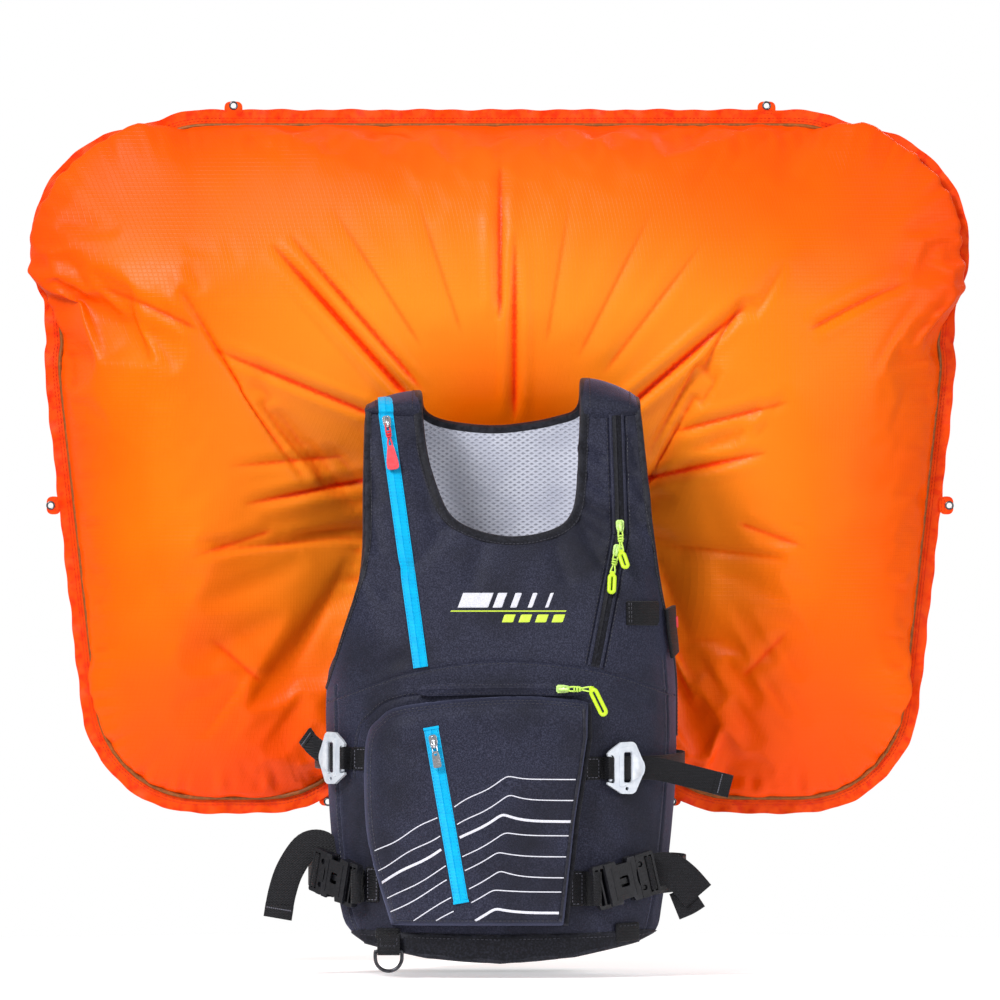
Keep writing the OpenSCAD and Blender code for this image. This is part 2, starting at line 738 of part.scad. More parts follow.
valve_z = neck_z + 1;
valve_h = 50;
module valve_body() {
  color(silver) difference() {
    union() {
      translate([gas_x, gas_y, valve_z]) cylinder(h = valve_h, r = 18);
      translate([gas_x - 34, gas_y, valve_z + 24]) rotate([0, 90, 0]) cylinder(h = 20, r = 7);
      translate([gas_x, gas_y + 12, valve_z + 24]) rotate([-90, 0, 0]) cylinder(h = 12, r = 6);
    }
    translate([gas_x, gas_y, valve_z - 1]) cylinder(h = 11, r = 11.6);
    translate([gas_x, gas_y, valve_z + 9]) cylinder(h = valve_h, r = valve_pin_r + 0.05);
  }
}
spring_h = 20;
module valve_pin() {
  color(silver) translate([gas_x, gas_y, 0]) {
    translate([0, 0, valve_z + 22]) cylinder(h = valve_h - 22 + spring_h + 1, r = valve_pin_r);
    translate([0, 0, valve_z + valve_h + spring_h + 0.5]) cylinder(h = 4, r = 10);
  }
}
module valve_spring() {
  coil_r = 7.4;
  wire = 0.9;
  turns = 5;
  color(silver) translate([gas_x, gas_y, valve_z + valve_h + wire + 0.1]) for (i = [0 : turns - 1])
    translate([0, 0, i * (spring_h - 2 * wire - 0.2) / (turns - 1)])
      rotate_extrude() translate([coil_r, 0]) circle(wire, $fn = 16);
}
gauge_y = gas_y + 24 + air;
module gauge() {
  color(silver) difference() {
    translate([gas_x, gauge_y, valve_z + 24]) rotate([-90, 0, 0]) cylinder(h = 14, r = 16);
    translate([gas_x, gauge_y + 8, valve_z + 24]) rotate([-90, 0, 0]) cylinder(h = 7, r = 14);
  }
}
module gauge_needle() {
  color(coral) translate([gas_x, gauge_y + 8.5, valve_z + 24]) rotate([-90, 0, 0]) {
    cylinder(h = 2.5, r = 2);
    translate([-0.6, -1, 0.8]) cube([1.2, 12.5, 0.8]);
  }
}

// Ejector: gas enters at its foot, draws air in at its sides and blows into the bag
ejector_z0 = 400;
ejector_h = 104;
ejector_r = 24;
module ejector_body() {
  color([0.12, 0.12, 0.13]) difference() {
    union() {
      translate([0, ejector_y, ejector_z0]) cylinder(h = ejector_h, r = ejector_r);
      translate([0, ejector_y, ejector_z0 - 14]) cylinder(h = 15, r = 8);
    }
    translate([0, ejector_y, ejector_z0 + 4]) cylinder(h = ejector_h, r = 21.5);
    translate([0, ejector_y, ejector_z0 - 15]) cylinder(h = 30, r = 4.5);
    for (a = [0, 90]) rotate_about(0, ejector_y, a)
      translate([-30, ejector_y - 9, ejector_z0 + 14]) cube([60, 18, 26]);
  }
}
module rotate_about(x, y, a) {
  translate([x, y, 0]) rotate([0, 0, a]) translate([-x, -y, 0]) children();
}
flap_z = ejector_z0 + 56;
flap_y = ejector_y - 17.5;
module ejector_flap() {
  color(black) {
    translate([-8, flap_y, flap_z]) rotate([0, 90, 0]) cylinder(h = 16, r = 1.2);
    translate([0, ejector_y, flap_z - 0.8]) cylinder(h = 1.6, r = 18.5);
  }
}
module hose() {
  color(black) path([[gas_x - 34 - air, gas_y, valve_z + 24], [0, gas_y, valve_z + 24],
    [-8, gas_y + 8, valve_z + 48], [0, ejector_y, ejector_z0 - 40],
    [0, ejector_y, ejector_z0 - 20.6]], 6);
}

// ---------- trigger ----------

trigger_at = [-104, 450];
grip_in = 15;        // depth of the grip's axis behind the chest surface
sleeve_top = 78;
module on_trigger() {
  on_chest(trigger_at[0], trigger_at[1], shoulder_turn) children();
}
module trigger_sleeve() {
  color(charcoal) on_trigger() difference() {
    translate([-12, panel_t + 0.6, -34]) cube([24, 21, sleeve_top + 34]);
    translate([-9.5, panel_t + 2, -35]) cube([19, 18, sleeve_top + 33]);
    translate([0, grip_in, 0]) cylinder(h = 200, r = 3);
  }
}
module trigger_handle() {
  color(coral) on_trigger() translate([0, grip_in, 0]) difference() {
    union() {
      translate([0, 0, -16]) cylinder(h = 70, r = 7.5);
      translate([0, 0, 54]) cylinder(h = 14, r = 3.5);
      translate([-9, -4, -24]) cube([18, 8, 9]);
    }
    for (i = [0 : 3]) translate([0, 0, 4 + 12 * i]) rotate_extrude() translate([8.6, 0]) circle(1.8);
  }
}
module trigger_cable() {
  exit = chest_place(trigger_at[0], trigger_at[1], shoulder_turn, [0, grip_in, sleeve_top - 4]);
  yoke = [-118, -86, 594];
  front = -5.5;   // depth of the cable in front of the back lining
  color(black) path([exit, yoke, [-114, -62, 605], [-110, -24, 605], [-106, front, 590],
    [cable_hole[0], front, cable_hole[1]], [cable_hole[0], 17, cable_hole[1]],
    [cable_entry[0], cable_entry[1], cable_entry[2]], [cable_entry[0], cable_entry[1], 396],
    [8, 34, 388], [gas_x - 14, gas_y - 8, valve_z + valve_h + spring_h + 14]], 2);
}

// ---------- what is drawn ----------

front_panel();
back_panel();
back_lining();
shoulder_yokes();
neck_binding();
armhole_bindings();
cargo_pouch();
hem_band();
hem_loops();
shoulder_zip();
chest_zip();
pouch_zip();
pocket_zip();
chest_webbing();
hook_webbing();
buckle_webbing();
buckle_sockets();
upper_straps();
lower_straps();
pack_shell();
rear_zip();
haul_loop();
back_frame();
burst_flaps();
airbag();
airbag_seam();
ejector_body();
ejector_flap();
hose();
valve_body();
valve_pin();
valve_spring();
gauge();
gauge_needle();
gas_cylinder();
cylinder_cradle();
trigger_sleeve();
trigger_cable();
trigger_handle();
shoulder_zip_slider();
shoulder_zip_puller();
chest_zip_slider_upper();
chest_zip_puller_upper();
chest_zip_slider_lower();
chest_zip_puller_lower();
pouch_zip_slider();
pouch_zip_puller();
pocket_zip_slider();
pocket_zip_puller();
rear_zip_slider();
rear_zip_puller();
buckle_plug_right();
buckle_plug_left();
prong_upper_right();
prong_lower_right();
prong_upper_left();
prong_lower_left();
hook_buckle_right();
hook_buckle_left();
d_ring();
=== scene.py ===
"""Looks of the avalanche airbag vest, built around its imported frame. Shapes are worked out in millimetres."""
import math

import bmesh
import bpy
import numpy as np
from mathutils import Matrix, Vector
from mathutils.geometry import delaunay_2d_cdt


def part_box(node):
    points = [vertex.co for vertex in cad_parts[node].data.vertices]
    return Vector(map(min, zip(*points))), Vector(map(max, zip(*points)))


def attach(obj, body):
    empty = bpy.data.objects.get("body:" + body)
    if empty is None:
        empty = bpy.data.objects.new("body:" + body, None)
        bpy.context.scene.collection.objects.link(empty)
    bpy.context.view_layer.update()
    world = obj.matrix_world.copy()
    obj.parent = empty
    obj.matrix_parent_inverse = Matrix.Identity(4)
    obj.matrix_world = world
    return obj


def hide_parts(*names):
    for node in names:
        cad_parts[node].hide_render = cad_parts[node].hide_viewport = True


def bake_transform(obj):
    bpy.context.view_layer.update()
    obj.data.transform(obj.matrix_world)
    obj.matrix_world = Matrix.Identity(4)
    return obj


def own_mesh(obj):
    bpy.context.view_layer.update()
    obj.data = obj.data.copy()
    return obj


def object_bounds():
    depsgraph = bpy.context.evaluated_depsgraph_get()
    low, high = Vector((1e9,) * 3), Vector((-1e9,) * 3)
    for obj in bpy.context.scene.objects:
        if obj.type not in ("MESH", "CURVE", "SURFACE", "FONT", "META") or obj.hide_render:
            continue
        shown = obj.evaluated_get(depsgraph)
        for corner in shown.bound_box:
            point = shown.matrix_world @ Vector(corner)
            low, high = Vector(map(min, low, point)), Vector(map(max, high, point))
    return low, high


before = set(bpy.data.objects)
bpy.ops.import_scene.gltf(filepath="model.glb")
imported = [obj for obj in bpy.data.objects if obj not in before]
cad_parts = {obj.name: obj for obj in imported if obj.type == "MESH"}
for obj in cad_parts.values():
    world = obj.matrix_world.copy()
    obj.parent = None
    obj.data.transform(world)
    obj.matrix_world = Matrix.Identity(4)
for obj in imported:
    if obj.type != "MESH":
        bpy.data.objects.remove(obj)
cad_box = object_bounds()
MM = 0.001


def node_box(node):
    """Lowest and highest corner of a CAD node, in millimetres."""
    low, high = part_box(node)
    return np.array(low) / MM, np.array(high) / MM


# ---------- sizes shared with the frame, in millimetres ----------

HALF_W = 194           # half the vest's width
SIDE_GAP = 45          # side edges in front of the back lining
DEPTH = 140            # how far the belly stands in front of the side edges
CHEST_Z = 300          # height where the chest starts to lean
CHEST_LEAN = 15.5      # degrees from upright
FRONT_Y = -SIDE_GAP - DEPTH
POUCH_LEAN = 2
POUCH_Y = FRONT_Y - 27
SHOULDER_Z = 600
YOKE_MID_Y = -47.5
YOKE_HALF = 54
BINDING_W = 11
SLIDER_Y = -2.2        # underside of a zip slider, in the zip's frame
PULL_Y = -7.6          # pin of a zip slider
PULL_Z = -4
MOUTH_X = 14           # mouth of a side-release socket, in the buckle's frame
BUCKLE_H = 48
BAG_Y = 135            # seam plane of the airbag
PACK_Y0, PACK_Y1 = 14, 130
PACK_HALF_W = 122
PACK_ARCH_Z = 346      # centre of the arch at the pack's top
EJECTOR_Y = 100
EJECTOR_HOLE_Z = 430   # the ejector's hole in the pack is above this height
FLANGE_W = 17          # width of the airbag's seam flange
SHOULDER_ZIP_TURN = 7.7
POCKET_ZIP = (-42, 66) # lower end of the pocket's zip
POCKET_ZIP_TURN = 9.8
PUCKER_GAIN = 3.0      # makes every listed pucker of the vest deeper
CLOTH_STIFFNESS = 60.0

EDGE_RIGHT = [(-146, 600), (-146, 534), (-148, 440), (-174, 351), (-190, 300), (-187, 165),
              (-175, 60), (-163, 33), (-146, 21)]
EDGE_LEFT = [(153, 600), (164, 494), (176, 407), (191, 330), (195, 245), (187, 134), (178, 66),
             (171, 34), (150, 23)]
NECKLINE = [(-85, 600), (-80, 553), (-67, 511), (-52, 484), (-23, 469), (13, 463), (49, 468),
            (75, 482), (84, 515), (88, 600)]
HEM = [(-146, 21), (-80, 6), (0, 0), (80, 7), (150, 23)]
BACK_NECK = [(-84, 600), (-66, 592), (-37, 587), (0, 585), (46, 591), (69, 597), (87, 600)]
BACK_SIDE = [(148, 600), (150, 520), (152, 430), (170, 340), (185, 290), (185, 120), (176, 20), (150, 0)]
POUCH_EDGE = [(-118, 41), (-143, 128), (-148, 200), (-145, 245), (-133, 264), (-103, 280), (8, 290),
              (86, 286), (96, 281)]
YOKE_SEAM = [(-188, 284), (-140, 302), (-93, 316), (-4, 328), (107, 318), (191, 290)]


# ---------- curves and meshes ----------

def smooth(points, n=4):
    """Curve through every point, with n steps between points."""
    p = np.array(points, float)
    out = []
    for i in range(len(p) - 1):
        a, b, c, d = p[max(i - 1, 0)], p[i], p[i + 1], p[min(i + 2, len(p) - 1)]
        for t in np.arange(n) / n:
            out.append(0.5 * (2 * b + (c - a) * t + (2 * a - 5 * b + 4 * c - d) * t ** 2
                              + (3 * b - a - 3 * c + d) * t ** 3))
    return np.array(out + [p[-1]])


def arc(cx, cz, r, a0, a1, n=8):
    t = np.radians(np.linspace(a0, a1, n + 1))
    return np.c_[cx + r * np.cos(t), cz + r * np.sin(t)]


def round_rect(w, h, r):
    x, z = w / 2 - r, h / 2 - r
    corners = ((x, z, 0), (-x, z, 90), (-x, -z, 180), (x, -z, 270))
    return np.vstack([arc(cx, cz, r, a, a + 90, 4) for cx, cz, a in corners])


def unit(v):
    return v / (np.linalg.norm(v, axis=-1, keepdims=True) + 1e-12)


def resample(points, step, closed=False):
    """Evenly spaced points along a line of straight pieces."""
    p = np.array(points, float)
    if closed:
        p = np.vstack([p, p[:1]])
    d = np.r_[0, np.cumsum(np.linalg.norm(np.diff(p, axis=0), axis=1))]
    t = np.linspace(0, d[-1], max(int(round(d[-1] / step)), 3) + 1)
    if closed:
        t = t[:-1]
    return np.stack([np.interp(t, d, p[:, k]) for k in range(p.shape[1])], axis=1)


def tangents(path, closed=False):
    if closed:
        return unit(np.roll(path, -1, 0) - np.roll(path, 1, 0))
    return unit(np.gradient(path, axis=0))


def shifted(line, distance):
    """A flat line moved sideways, to its right."""
    t = tangents(np.array(line, float))
    return np.array(line, float) + distance * np.c_[t[:, 1], -t[:, 0]]


def soften(directions, times):
    """Directions round a closed line, averaged with their neighbours."""
    for _ in range(times):
        directions = unit(np.roll(directions, 1, 0) + directions + np.roll(directions, -1, 0))
    return directions


def at_depth(xz, y):
    """Points drawn in X and Z, put at one depth or at a depth each."""
    return np.c_[xz[:, 0], np.broadcast_to(np.asarray(y, float), (len(xz),)), xz[:, 1]]


def inside(poly, pts):
    x, y = pts[:, 0], pts[:, 1]
    odd = np.zeros(len(pts), bool)
    for (xi, yi), (xj, yj) in zip(poly, np.roll(poly, 1, axis=0)):
        odd ^= ((yi > y) != (yj > y)) & (x < (xj - xi) * (y - yi) / (yj - yi + 1e-12) + xi)
    return odd


def line_distance(line, pts, closed=False):
    """Distance of every point from a line, and the share of the line's length at the nearest place."""
    a = np.array(line, float)
    b = np.roll(a, -1, axis=0)
    if not closed:
        a, b = a[:-1], b[:-1]
    lengths = np.linalg.norm(b - a, axis=1)
    start = np.r_[0, np.cumsum(lengths)[:-1]]
    best, along = np.full(len(pts), 1e9), np.zeros(len(pts))
    for p, q, length, s in zip(a, b, lengths, start):
        d = q - p
        t = np.clip(((pts - p) @ d) / (d @ d + 1e-12), 0, 1)
        gap = np.linalg.norm(pts - p - t[:, None] * d, axis=1)
        near = gap < best
        best[near] = gap[near]
        along[near] = s + t[near] * length
    return best, along / lengths.sum()


def triangulate(loops, extra=()):
    """Triangles inside the first loop and outside the others."""
    pts = np.vstack([*loops, *([extra] if len(extra) else [])])
    edges, n = [], 0
    for loop in loops:
        edges += [(n + i, n + (i + 1) % len(loop)) for i in range(len(loop))]
        n += len(loop)
    v, _, f, *_ = delaunay_2d_cdt([Vector(p) for p in pts], edges, [], 0, 1e-4)
    v = np.array([tuple(p) for p in v])
    f = np.array([tuple(q) for q in f])
    mid = v[f].mean(1)
    keep = inside(loops[0], mid)
    for hole in loops[1:]:
        keep &= ~inside(hole, mid)
    return v, f[keep]


def fill(poly, step, rims=(), extra=()):
    """Triangles inside an outline: a grid a step apart, rows along the rim and any extra points."""
    low, high = poly.min(0), poly.max(0)
    xs = np.arange(low[0], high[0] + step, step)
    grid = np.vstack([np.c_[xs + (k % 2) * step / 2, np.full(len(xs), z)]
                      for k, z in enumerate(np.arange(low[1], high[1] + step, step * 0.87))])
    grid = grid[inside(poly, grid)]
    grid = grid[line_distance(poly, grid, True)[0] > step * 0.6 + (max(rims) if len(rims) else 0)]
    fine = [np.array(extra, float).reshape(-1, 2)]
    t = tangents(poly, True)
    inward = np.c_[-t[:, 1], t[:, 0]]
    if not inside(poly, poly + inward * 0.2).mean() > 0.5:
        inward = -inward
    fine += [poly + inward * r for r in rims]
    fine = np.vstack(fine)
    if len(fine):
        fine = fine[inside(poly, fine)]
        fine = fine[line_distance(poly, fine, True)[0] > (0.9 * min(rims) if len(rims) else 0.8)]
    if len(extra):
        far = np.array([np.min(np.abs(fine - g).sum(1)) > step * 0.6 for g in grid])
        grid = grid[far]
    return triangulate([poly], np.vstack([fine, grid]))


class Build:
    """Collects vertices and faces, with a material number for each face."""

    def __init__(self):
        self.verts, self.faces, self.mats, self.count = [], [], [], 0

    def add(self, shape, mat=0, place=None):
        verts, faces = shape
        verts = np.asarray(verts, float)
        if place is not None:
            m = np.array(place)
            verts = verts @ m[:3, :3].T + m[:3, 3]
        self.verts.append(verts)
        self.faces += [tuple(int(i) + self.count for i in q) for q in faces]
        self.mats += [mat] * len(faces)
        self.count += len(verts)
        return self

    def join(self, other):
        """Adds everything that another Build holds."""
        self.verts += other.verts
        self.faces += [tuple(i + self.count for i in q) for q in other.faces]
        self.mats += other.mats
        self.count += other.count


def make(name, build, materials, body="vest", stands_for=(), bevel=0.0, subdivide=0, sharp=40):
    """Turns a Build into a piece that rides on a body."""
    if isinstance(build, tuple):
        build = Build().add(build)
    mesh = bpy.data.meshes.new(name)
    mesh.from_pydata([tuple(v) for v in np.vstack(build.verts) * MM], [], build.faces)
    for m in materials:
        mesh.materials.append(m)
    mesh.polygons.foreach_set("material_index", build.mats)
    bm = bmesh.new()
    bm.from_mesh(mesh)
    bmesh.ops.remove_doubles(bm, verts=bm.verts, dist=2e-6)
    bmesh.ops.recalc_face_normals(bm, faces=bm.faces)
    bm.to_mesh(mesh)
    bm.free()
    mesh.shade_smooth()
    mesh.set_sharp_from_angle(angle=math.radians(sharp))
    piece = bpy.data.objects.new(name, mesh)
    bpy.context.scene.collection.objects.link(piece)
    if bevel:
        m = piece.modifiers.new("bevel", "BEVEL")
        m.width = bevel * MM
        m.segments = 2
        m.limit_method = "ANGLE"
        m.angle_limit = math.radians(35)
    if subdivide:
        piece.modifiers.new("subdivide", "SUBSURF").levels = subdivide
        piece.modifiers[-1].render_levels = subdivide
    if body:
        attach(piece, body)
    if stands_for:
        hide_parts(*stands_for)
    return piece


def tube_faces(n, m, closed, caps=True):
    faces = []
    for i in range(n if closed else n - 1):
        a, b = i * m, ((i + 1) % n) * m
        faces += [(a + j, a + (j + 1) % m, b + (j + 1) % m, b + j) for j in range(m)]
    if not closed and caps:
        faces += [tuple(range(m - 1, -1, -1)), tuple((n - 1) * m + j for j in range(m))]
    return faces


def sweep(path, up, profile, closed=False, scale=None):
    """A profile of (side, up) points carried along a path; scale holds a (side, up) pair for each point."""
    path = np.asarray(path, float)
    t = tangents(path, closed)
    up = np.broadcast_to(np.asarray(up, float), path.shape)
    up = unit(up - (up * t).sum(1, keepdims=True) * t)
    side = np.cross(t, up)
    profile = np.asarray(profile, float)
    s = np.ones((len(path), 2)) if scale is None else np.asarray(scale, float)
    verts = (path[:, None] + side[:, None] * (profile[None, :, :1] * s[:, None, :1])
             + up[:, None] * (profile[None, :, 1:] * s[:, None, 1:]))
    return verts.reshape(-1, 3), tube_faces(len(path), len(profile), closed)


def band(w, t, base=0.0):
    """Cross-section of a flat band with round edges, standing on base."""
    r = t / 2
    x = w / 2 - r
    return np.vstack([arc(x, base + r, r, -90, 90, 4), arc(-x, base + r, r, 90, 270, 4)])


def cord(path, r, closed=False, sides=8):
    path = np.asarray(path, float)
    axis = np.eye(3)[np.argmin(np.abs(tangents(path, closed)).max(0))]
    return sweep(path, axis, arc(0, 0, r, 0, 360 - 360 / sides, sides - 1), closed)


def plate(loops, y0, y1):
    """A plate drawn in X and Z between two depths, with holes."""
    v, f = triangulate(loops)
    n = len(v)
    verts = np.vstack([at_depth(v, y0), at_depth(v, y1)])
    faces = [tuple(q) for q in f] + [tuple(q[::-1] + n) for q in f]
    start = 0
    for loop in loops:
        k = len(loop)
        faces += [(start + i, start + (i + 1) % k, n + start + (i + 1) % k, n + start + i) for i in range(k)]
        start += k
    return verts, faces


def stitches(path, up, pitch=4.6, length=3.2, r=0.42, lift=0.1):
    """A row of short threads along a path."""
    path = np.asarray(path, float)
    up = np.broadcast_to(np.asarray(up, float), path.shape)
    d = np.r_[0, np.cumsum(np.linalg.norm(np.diff(path, axis=0), axis=1))]
    at = np.arange(pitch / 2, d[-1] - pitch / 4, pitch)
    if not len(at):
        at = np.array([d[-1] / 2])
    def pick(values):
        return np.stack([np.interp(at, d, values[:, k]) for k in range(3)], axis=1)
    c, t, n = pick(path), unit(pick(tangents(path))), unit(pick(up))
    s = np.cross(t, n)
    c = c + n * lift
    half, ring = length / 2, length / 2 - r
    verts = [c - t * half]
    for u in (-ring, ring):
        verts += [c + t * u + s * r, c + t * u + n * r, c + t * u - s * r, c + t * u - n * r]
    verts.append(c + t * half)
    verts = np.stack(verts, axis=1).reshape(-1, 3)
    one = ([(0, 1 + (j + 1) % 4, 1 + j) for j in range(4)]
           + [(1 + j, 1 + (j + 1) % 4, 5 + (j + 1) % 4, 5 + j) for j in range(4)]
           + [(5 + j, 5 + (j + 1) % 4, 9) for j in range(4)])
    return verts, [tuple(10 * k + i for i in q) for k in range(len(at)) for q in one]


def shift(x, y, z):
    return Matrix.Translation((x, y, z))


def turn(axis, degrees):
    return Matrix.Rotation(math.radians(degrees), 4, axis)


MIRROR = Matrix.Scale(-1, 4, (1, 0, 0))


# ---------- the vest's outer surface ----------

ANGLE = np.radians(np.linspace(-90, 90, 1441))
PLAN_X = HALF_W * np.sin(ANGLE)
PLAN_Y = -SIDE_GAP - DEPTH * np.maximum(0, 1 - np.abs(np.sin(ANGLE)) ** 3) ** (1 / 2.2)
PLAN_S = np.r_[0, np.cumsum(np.hypot(np.diff(PLAN_X), np.diff(PLAN_Y)))]
PLAN_S -= np.interp(0, PLAN_X, PLAN_S)
EDGE_X = 193.2         # widest X that the surface follows

# Soft puckers: start, end, width and depth
PUCKERS = [((-144, 560), (-134, 505), 6, 1.3), ((-142, 500), (-132, 450), 6, 1.2),
           ((-92, 560), (-70, 470), 9, 1.6), ((-60, 470), (-95, 430), 8, 1.3), ((-150, 430), (-120, 400), 9, 1.4),
           ((92, 560), (112, 548), 5, 1.7), ((92, 530), (116, 512), 5, 1.6), ((96, 498), (120, 486), 5, 1.6),
           ((84, 482), (112, 458), 6, 1.7), ((92, 466), (110, 436), 6, 1.5), ((142, 570), (150, 540), 5, 1.5),
           ((143, 530), (156, 505), 5, 1.5), ((146, 490), (160, 470), 6, 1.4), ((60, 452), (72, 418), 8, 1.2),
           ((-20, 452), (-30, 415), 10, 1.0), ((150, 440), (168, 425), 6, 1.2), ((-165, 180), (-172, 120), 9, 1.2),
           ((120, 160), (150, 140), 10, 1.4), ((130, 300), (160, 285), 8, 1.0), ((-150, 310), (-110, 330), 8, 0.9)]


def to_s(points):
    p = np.array(points, float)
    return np.c_[np.interp(np.clip(p[:, 0], -EDGE_X, EDGE_X), PLAN_X, PLAN_S), p[:, 1]]


def chest_y(z):
    return FRONT_Y + (z - CHEST_Z) * math.tan(math.radians(CHEST_LEAN))


def surface_y(x, y_plan, z):
    """Depth of the vest's surface: its plan curve and the leaning chest, rounded where they meet."""
    k = 14
    y_chest = chest_y(z)
    h = np.clip(0.5 + 0.5 * (y_plan - y_chest) / k, 0, 1)
    y = y_chest * (1 - h) + y_plan * h + k * h * (1 - h) * 0.6
    flat = np.c_[x, z]
    for a, b, w, depth in PUCKERS:
        y = y + PUCKER_GAIN * depth * np.exp(-(line_distance([a, b], flat)[0] / w) ** 2)
    return y


def surface(sz, out=0.0):
    """Points and outward normals at (s, z) places, a distance out from the vest's surface."""
    def at(s, z):
        x = np.interp(s, PLAN_S, PLAN_X)
        return np.c_[x, surface_y(x, np.interp(s, PLAN_S, PLAN_Y), z), z]
    s, z = sz[:, 0], sz[:, 1]
    normal = unit(np.cross(at(s + 1, z) - at(s - 1, z), at(s, z + 1) - at(s, z - 1)))
    return at(s, z) + normal * np.reshape(out, (-1, 1)), normal


def vest_line(points, out=0.0, step=3.0):
    """A line drawn in the front view, laid on the vest."""
    return surface(resample(to_s(points), step), out)


def vest_sheet(outline, inner, outer, step=5.0, rims=(0.5, 1.6), relief=None, extra=()):
    """A layer of fabric on the vest between two distances from its surface, with a rounded rim."""
    poly = resample(to_s(outline), step * 0.7, True)
    sz, tris = fill(poly, step, rims, extra)
    gap, _ = line_distance(poly, sz, True)
    edge = np.clip(1 - gap / (max(rims) + 0.1), 0, 1)
    rise = (outer - inner) * np.sqrt(1 - edge ** 2)
    if relief is not None:
        rise = rise + relief(sz) * (1 - edge)
    front, _ = surface(sz, inner + rise)
    back, _ = surface(sz, inner)
    n = len(sz)
    return np.vstack([front, back]), [tuple(q) for q in tris] + [tuple(q[::-1] + n) for q in tris]


# ---------- materials ----------

class Shader:
    """A node material on a Principled surface, with short helpers for procedural detail."""

    def __init__(self, name, color, rough, metal=0.0, sheen=0.0, coat=0.0, shine=0.5):
        self.mat = bpy.data.materials.new(name)
        self.mat.use_nodes = True
        self.tree = self.mat.node_tree
        self.surface = self.tree.nodes["Principled BSDF"]
        self.place = self.tree.nodes.new("ShaderNodeTexCoord").outputs["Object"]
        self.color, self.height, self.rough = self.rgb(color), None, rough
        self.surface.inputs["Metallic"].default_value = metal
        self.surface.inputs["Sheen Weight"].default_value = sheen
        self.surface.inputs["Sheen Roughness"].default_value = 0.4
        self.surface.inputs["Coat Weight"].default_value = coat
        self.surface.inputs["Specular IOR Level"].default_value = shine

    def node(self, kind, **inputs):
        n = self.tree.nodes.new(kind)
        for key, value in inputs.items():
            self.feed(n.inputs[key.replace("_", " ")], value)
        return n

    def feed(self, socket, value):
        if isinstance(value, bpy.types.NodeSocket):
            self.tree.links.new(value, socket)
        else:
            socket.default_value = value

    def rgb(self, color):
        n = self.tree.nodes.new("ShaderNodeRGB")
        n.outputs[0].default_value = (*color, 1)
        return n.outputs[0]

    def math(self, operation, a, b=0.0, c=0.0):
        n = self.tree.nodes.new("ShaderNodeMath")
        n.operation = operation
        for socket, value in zip(n.inputs, (a, b, c)):
            self.feed(socket, value)
        return n.outputs[0]

    def mix(self, factor, a, b):
        n = self.tree.nodes.new("ShaderNodeMix")
        n.data_type = "RGBA"
        n.clamp_factor = True
        self.feed(n.inputs[0], factor)
        self.feed(n.inputs[6], a)
        self.feed(n.inputs[7], b)
        return n.outputs[2]

    def ramp(self, value, low, high):
        n = self.node("ShaderNodeMapRange", Value=value)
        n.inputs["From Min"].default_value = low
        n.inputs["From Max"].default_value = high
        return n.outputs["Result"]

    def noise(self, size_mm, detail=3.0):
        n = self.node("ShaderNodeTexNoise", Vector=self.place, Scale=1 / (size_mm * MM), Detail=detail)
        return n.outputs["Fac"]

    def axes(self):
        n = self.node("ShaderNodeSeparateXYZ", Vector=self.place)
        return n.outputs[0], n.outputs[1], n.outputs[2]

    def wave(self, value, pitch_mm):
        return self.math("SINE", self.math("MULTIPLY", value, 2 * math.pi / (pitch_mm * MM)))

    def raise_by(self, height, mm):
        """Adds relief that is mm deep."""
        part = self.math("MULTIPLY", height, mm * MM)
        self.height = part if self.height is None else self.math("ADD", self.height, part)

    def tint(self, color, size_mm, low=0.35, high=0.7):
        """Blends to another colour in soft patches."""
        self.color = self.mix(self.ramp(self.noise(size_mm), low, high), self.color, self.rgb(color))
        return self

    def weave(self, pitch_mm, depth, shade=0.25):
        """Threads that cross: an up-and-down pattern with darker gaps."""
        x, y, z = self.axes()
        cross = self.math("MULTIPLY", self.wave(self.math("ADD", x, y), pitch_mm * 2), self.wave(z, pitch_mm * 2))
        self.raise_by(cross, depth)
        self.color = self.mix(self.ramp(cross, 0.0, -1.0), self.color, self.shaded(shade))
        return self

    def ribs(self, axis, pitch_mm, depth, shade=0.3):
        """Ridges across one axis: 0, 1 or 2 for X, Y or Z."""
        rib = self.wave(self.axes()[axis], pitch_mm)
        self.raise_by(rib, depth)
        self.color = self.mix(self.ramp(rib, 0.2, -1.0), self.color, self.shaded(shade))
        return self

    def grain(self, size_mm, depth, rough_spread=0.15):
        n = self.noise(size_mm, 2.0)
        self.raise_by(n, depth)
        self.rough = self.math("MULTIPLY_ADD", n, rough_spread, self.rough - rough_spread / 2)
        return self

    def edges(self):
        """How sharply the surface turns: above 0.5 on edges, below it in folds."""
        return self.tree.nodes.new("ShaderNodeNewGeometry").outputs["Pointiness"]

    def shaded(self, amount):
        return self.mix(amount, self.color, self.rgb((0, 0, 0)))

    def worn(self, color):
        """Edges rubbed to another colour."""
        patch = self.math("MULTIPLY", self.ramp(self.edges(), 0.53, 0.62), self.ramp(self.noise(6), 0.3, 0.6))
        self.color = self.mix(self.math("MULTIPLY", patch, 0.6), self.color, self.rgb(color))
        return self

    def done(self):
        self.feed(self.surface.inputs["Base Color"], self.color)
        self.feed(self.surface.inputs["Roughness"], self.rough)
        if self.height is not None:
            bump = self.node("ShaderNodeBump", Height=self.height, Distance=1.0, Strength=1.0)
            self.feed(self.surface.inputs["Normal"], bump.outputs[0])
        return self.mat


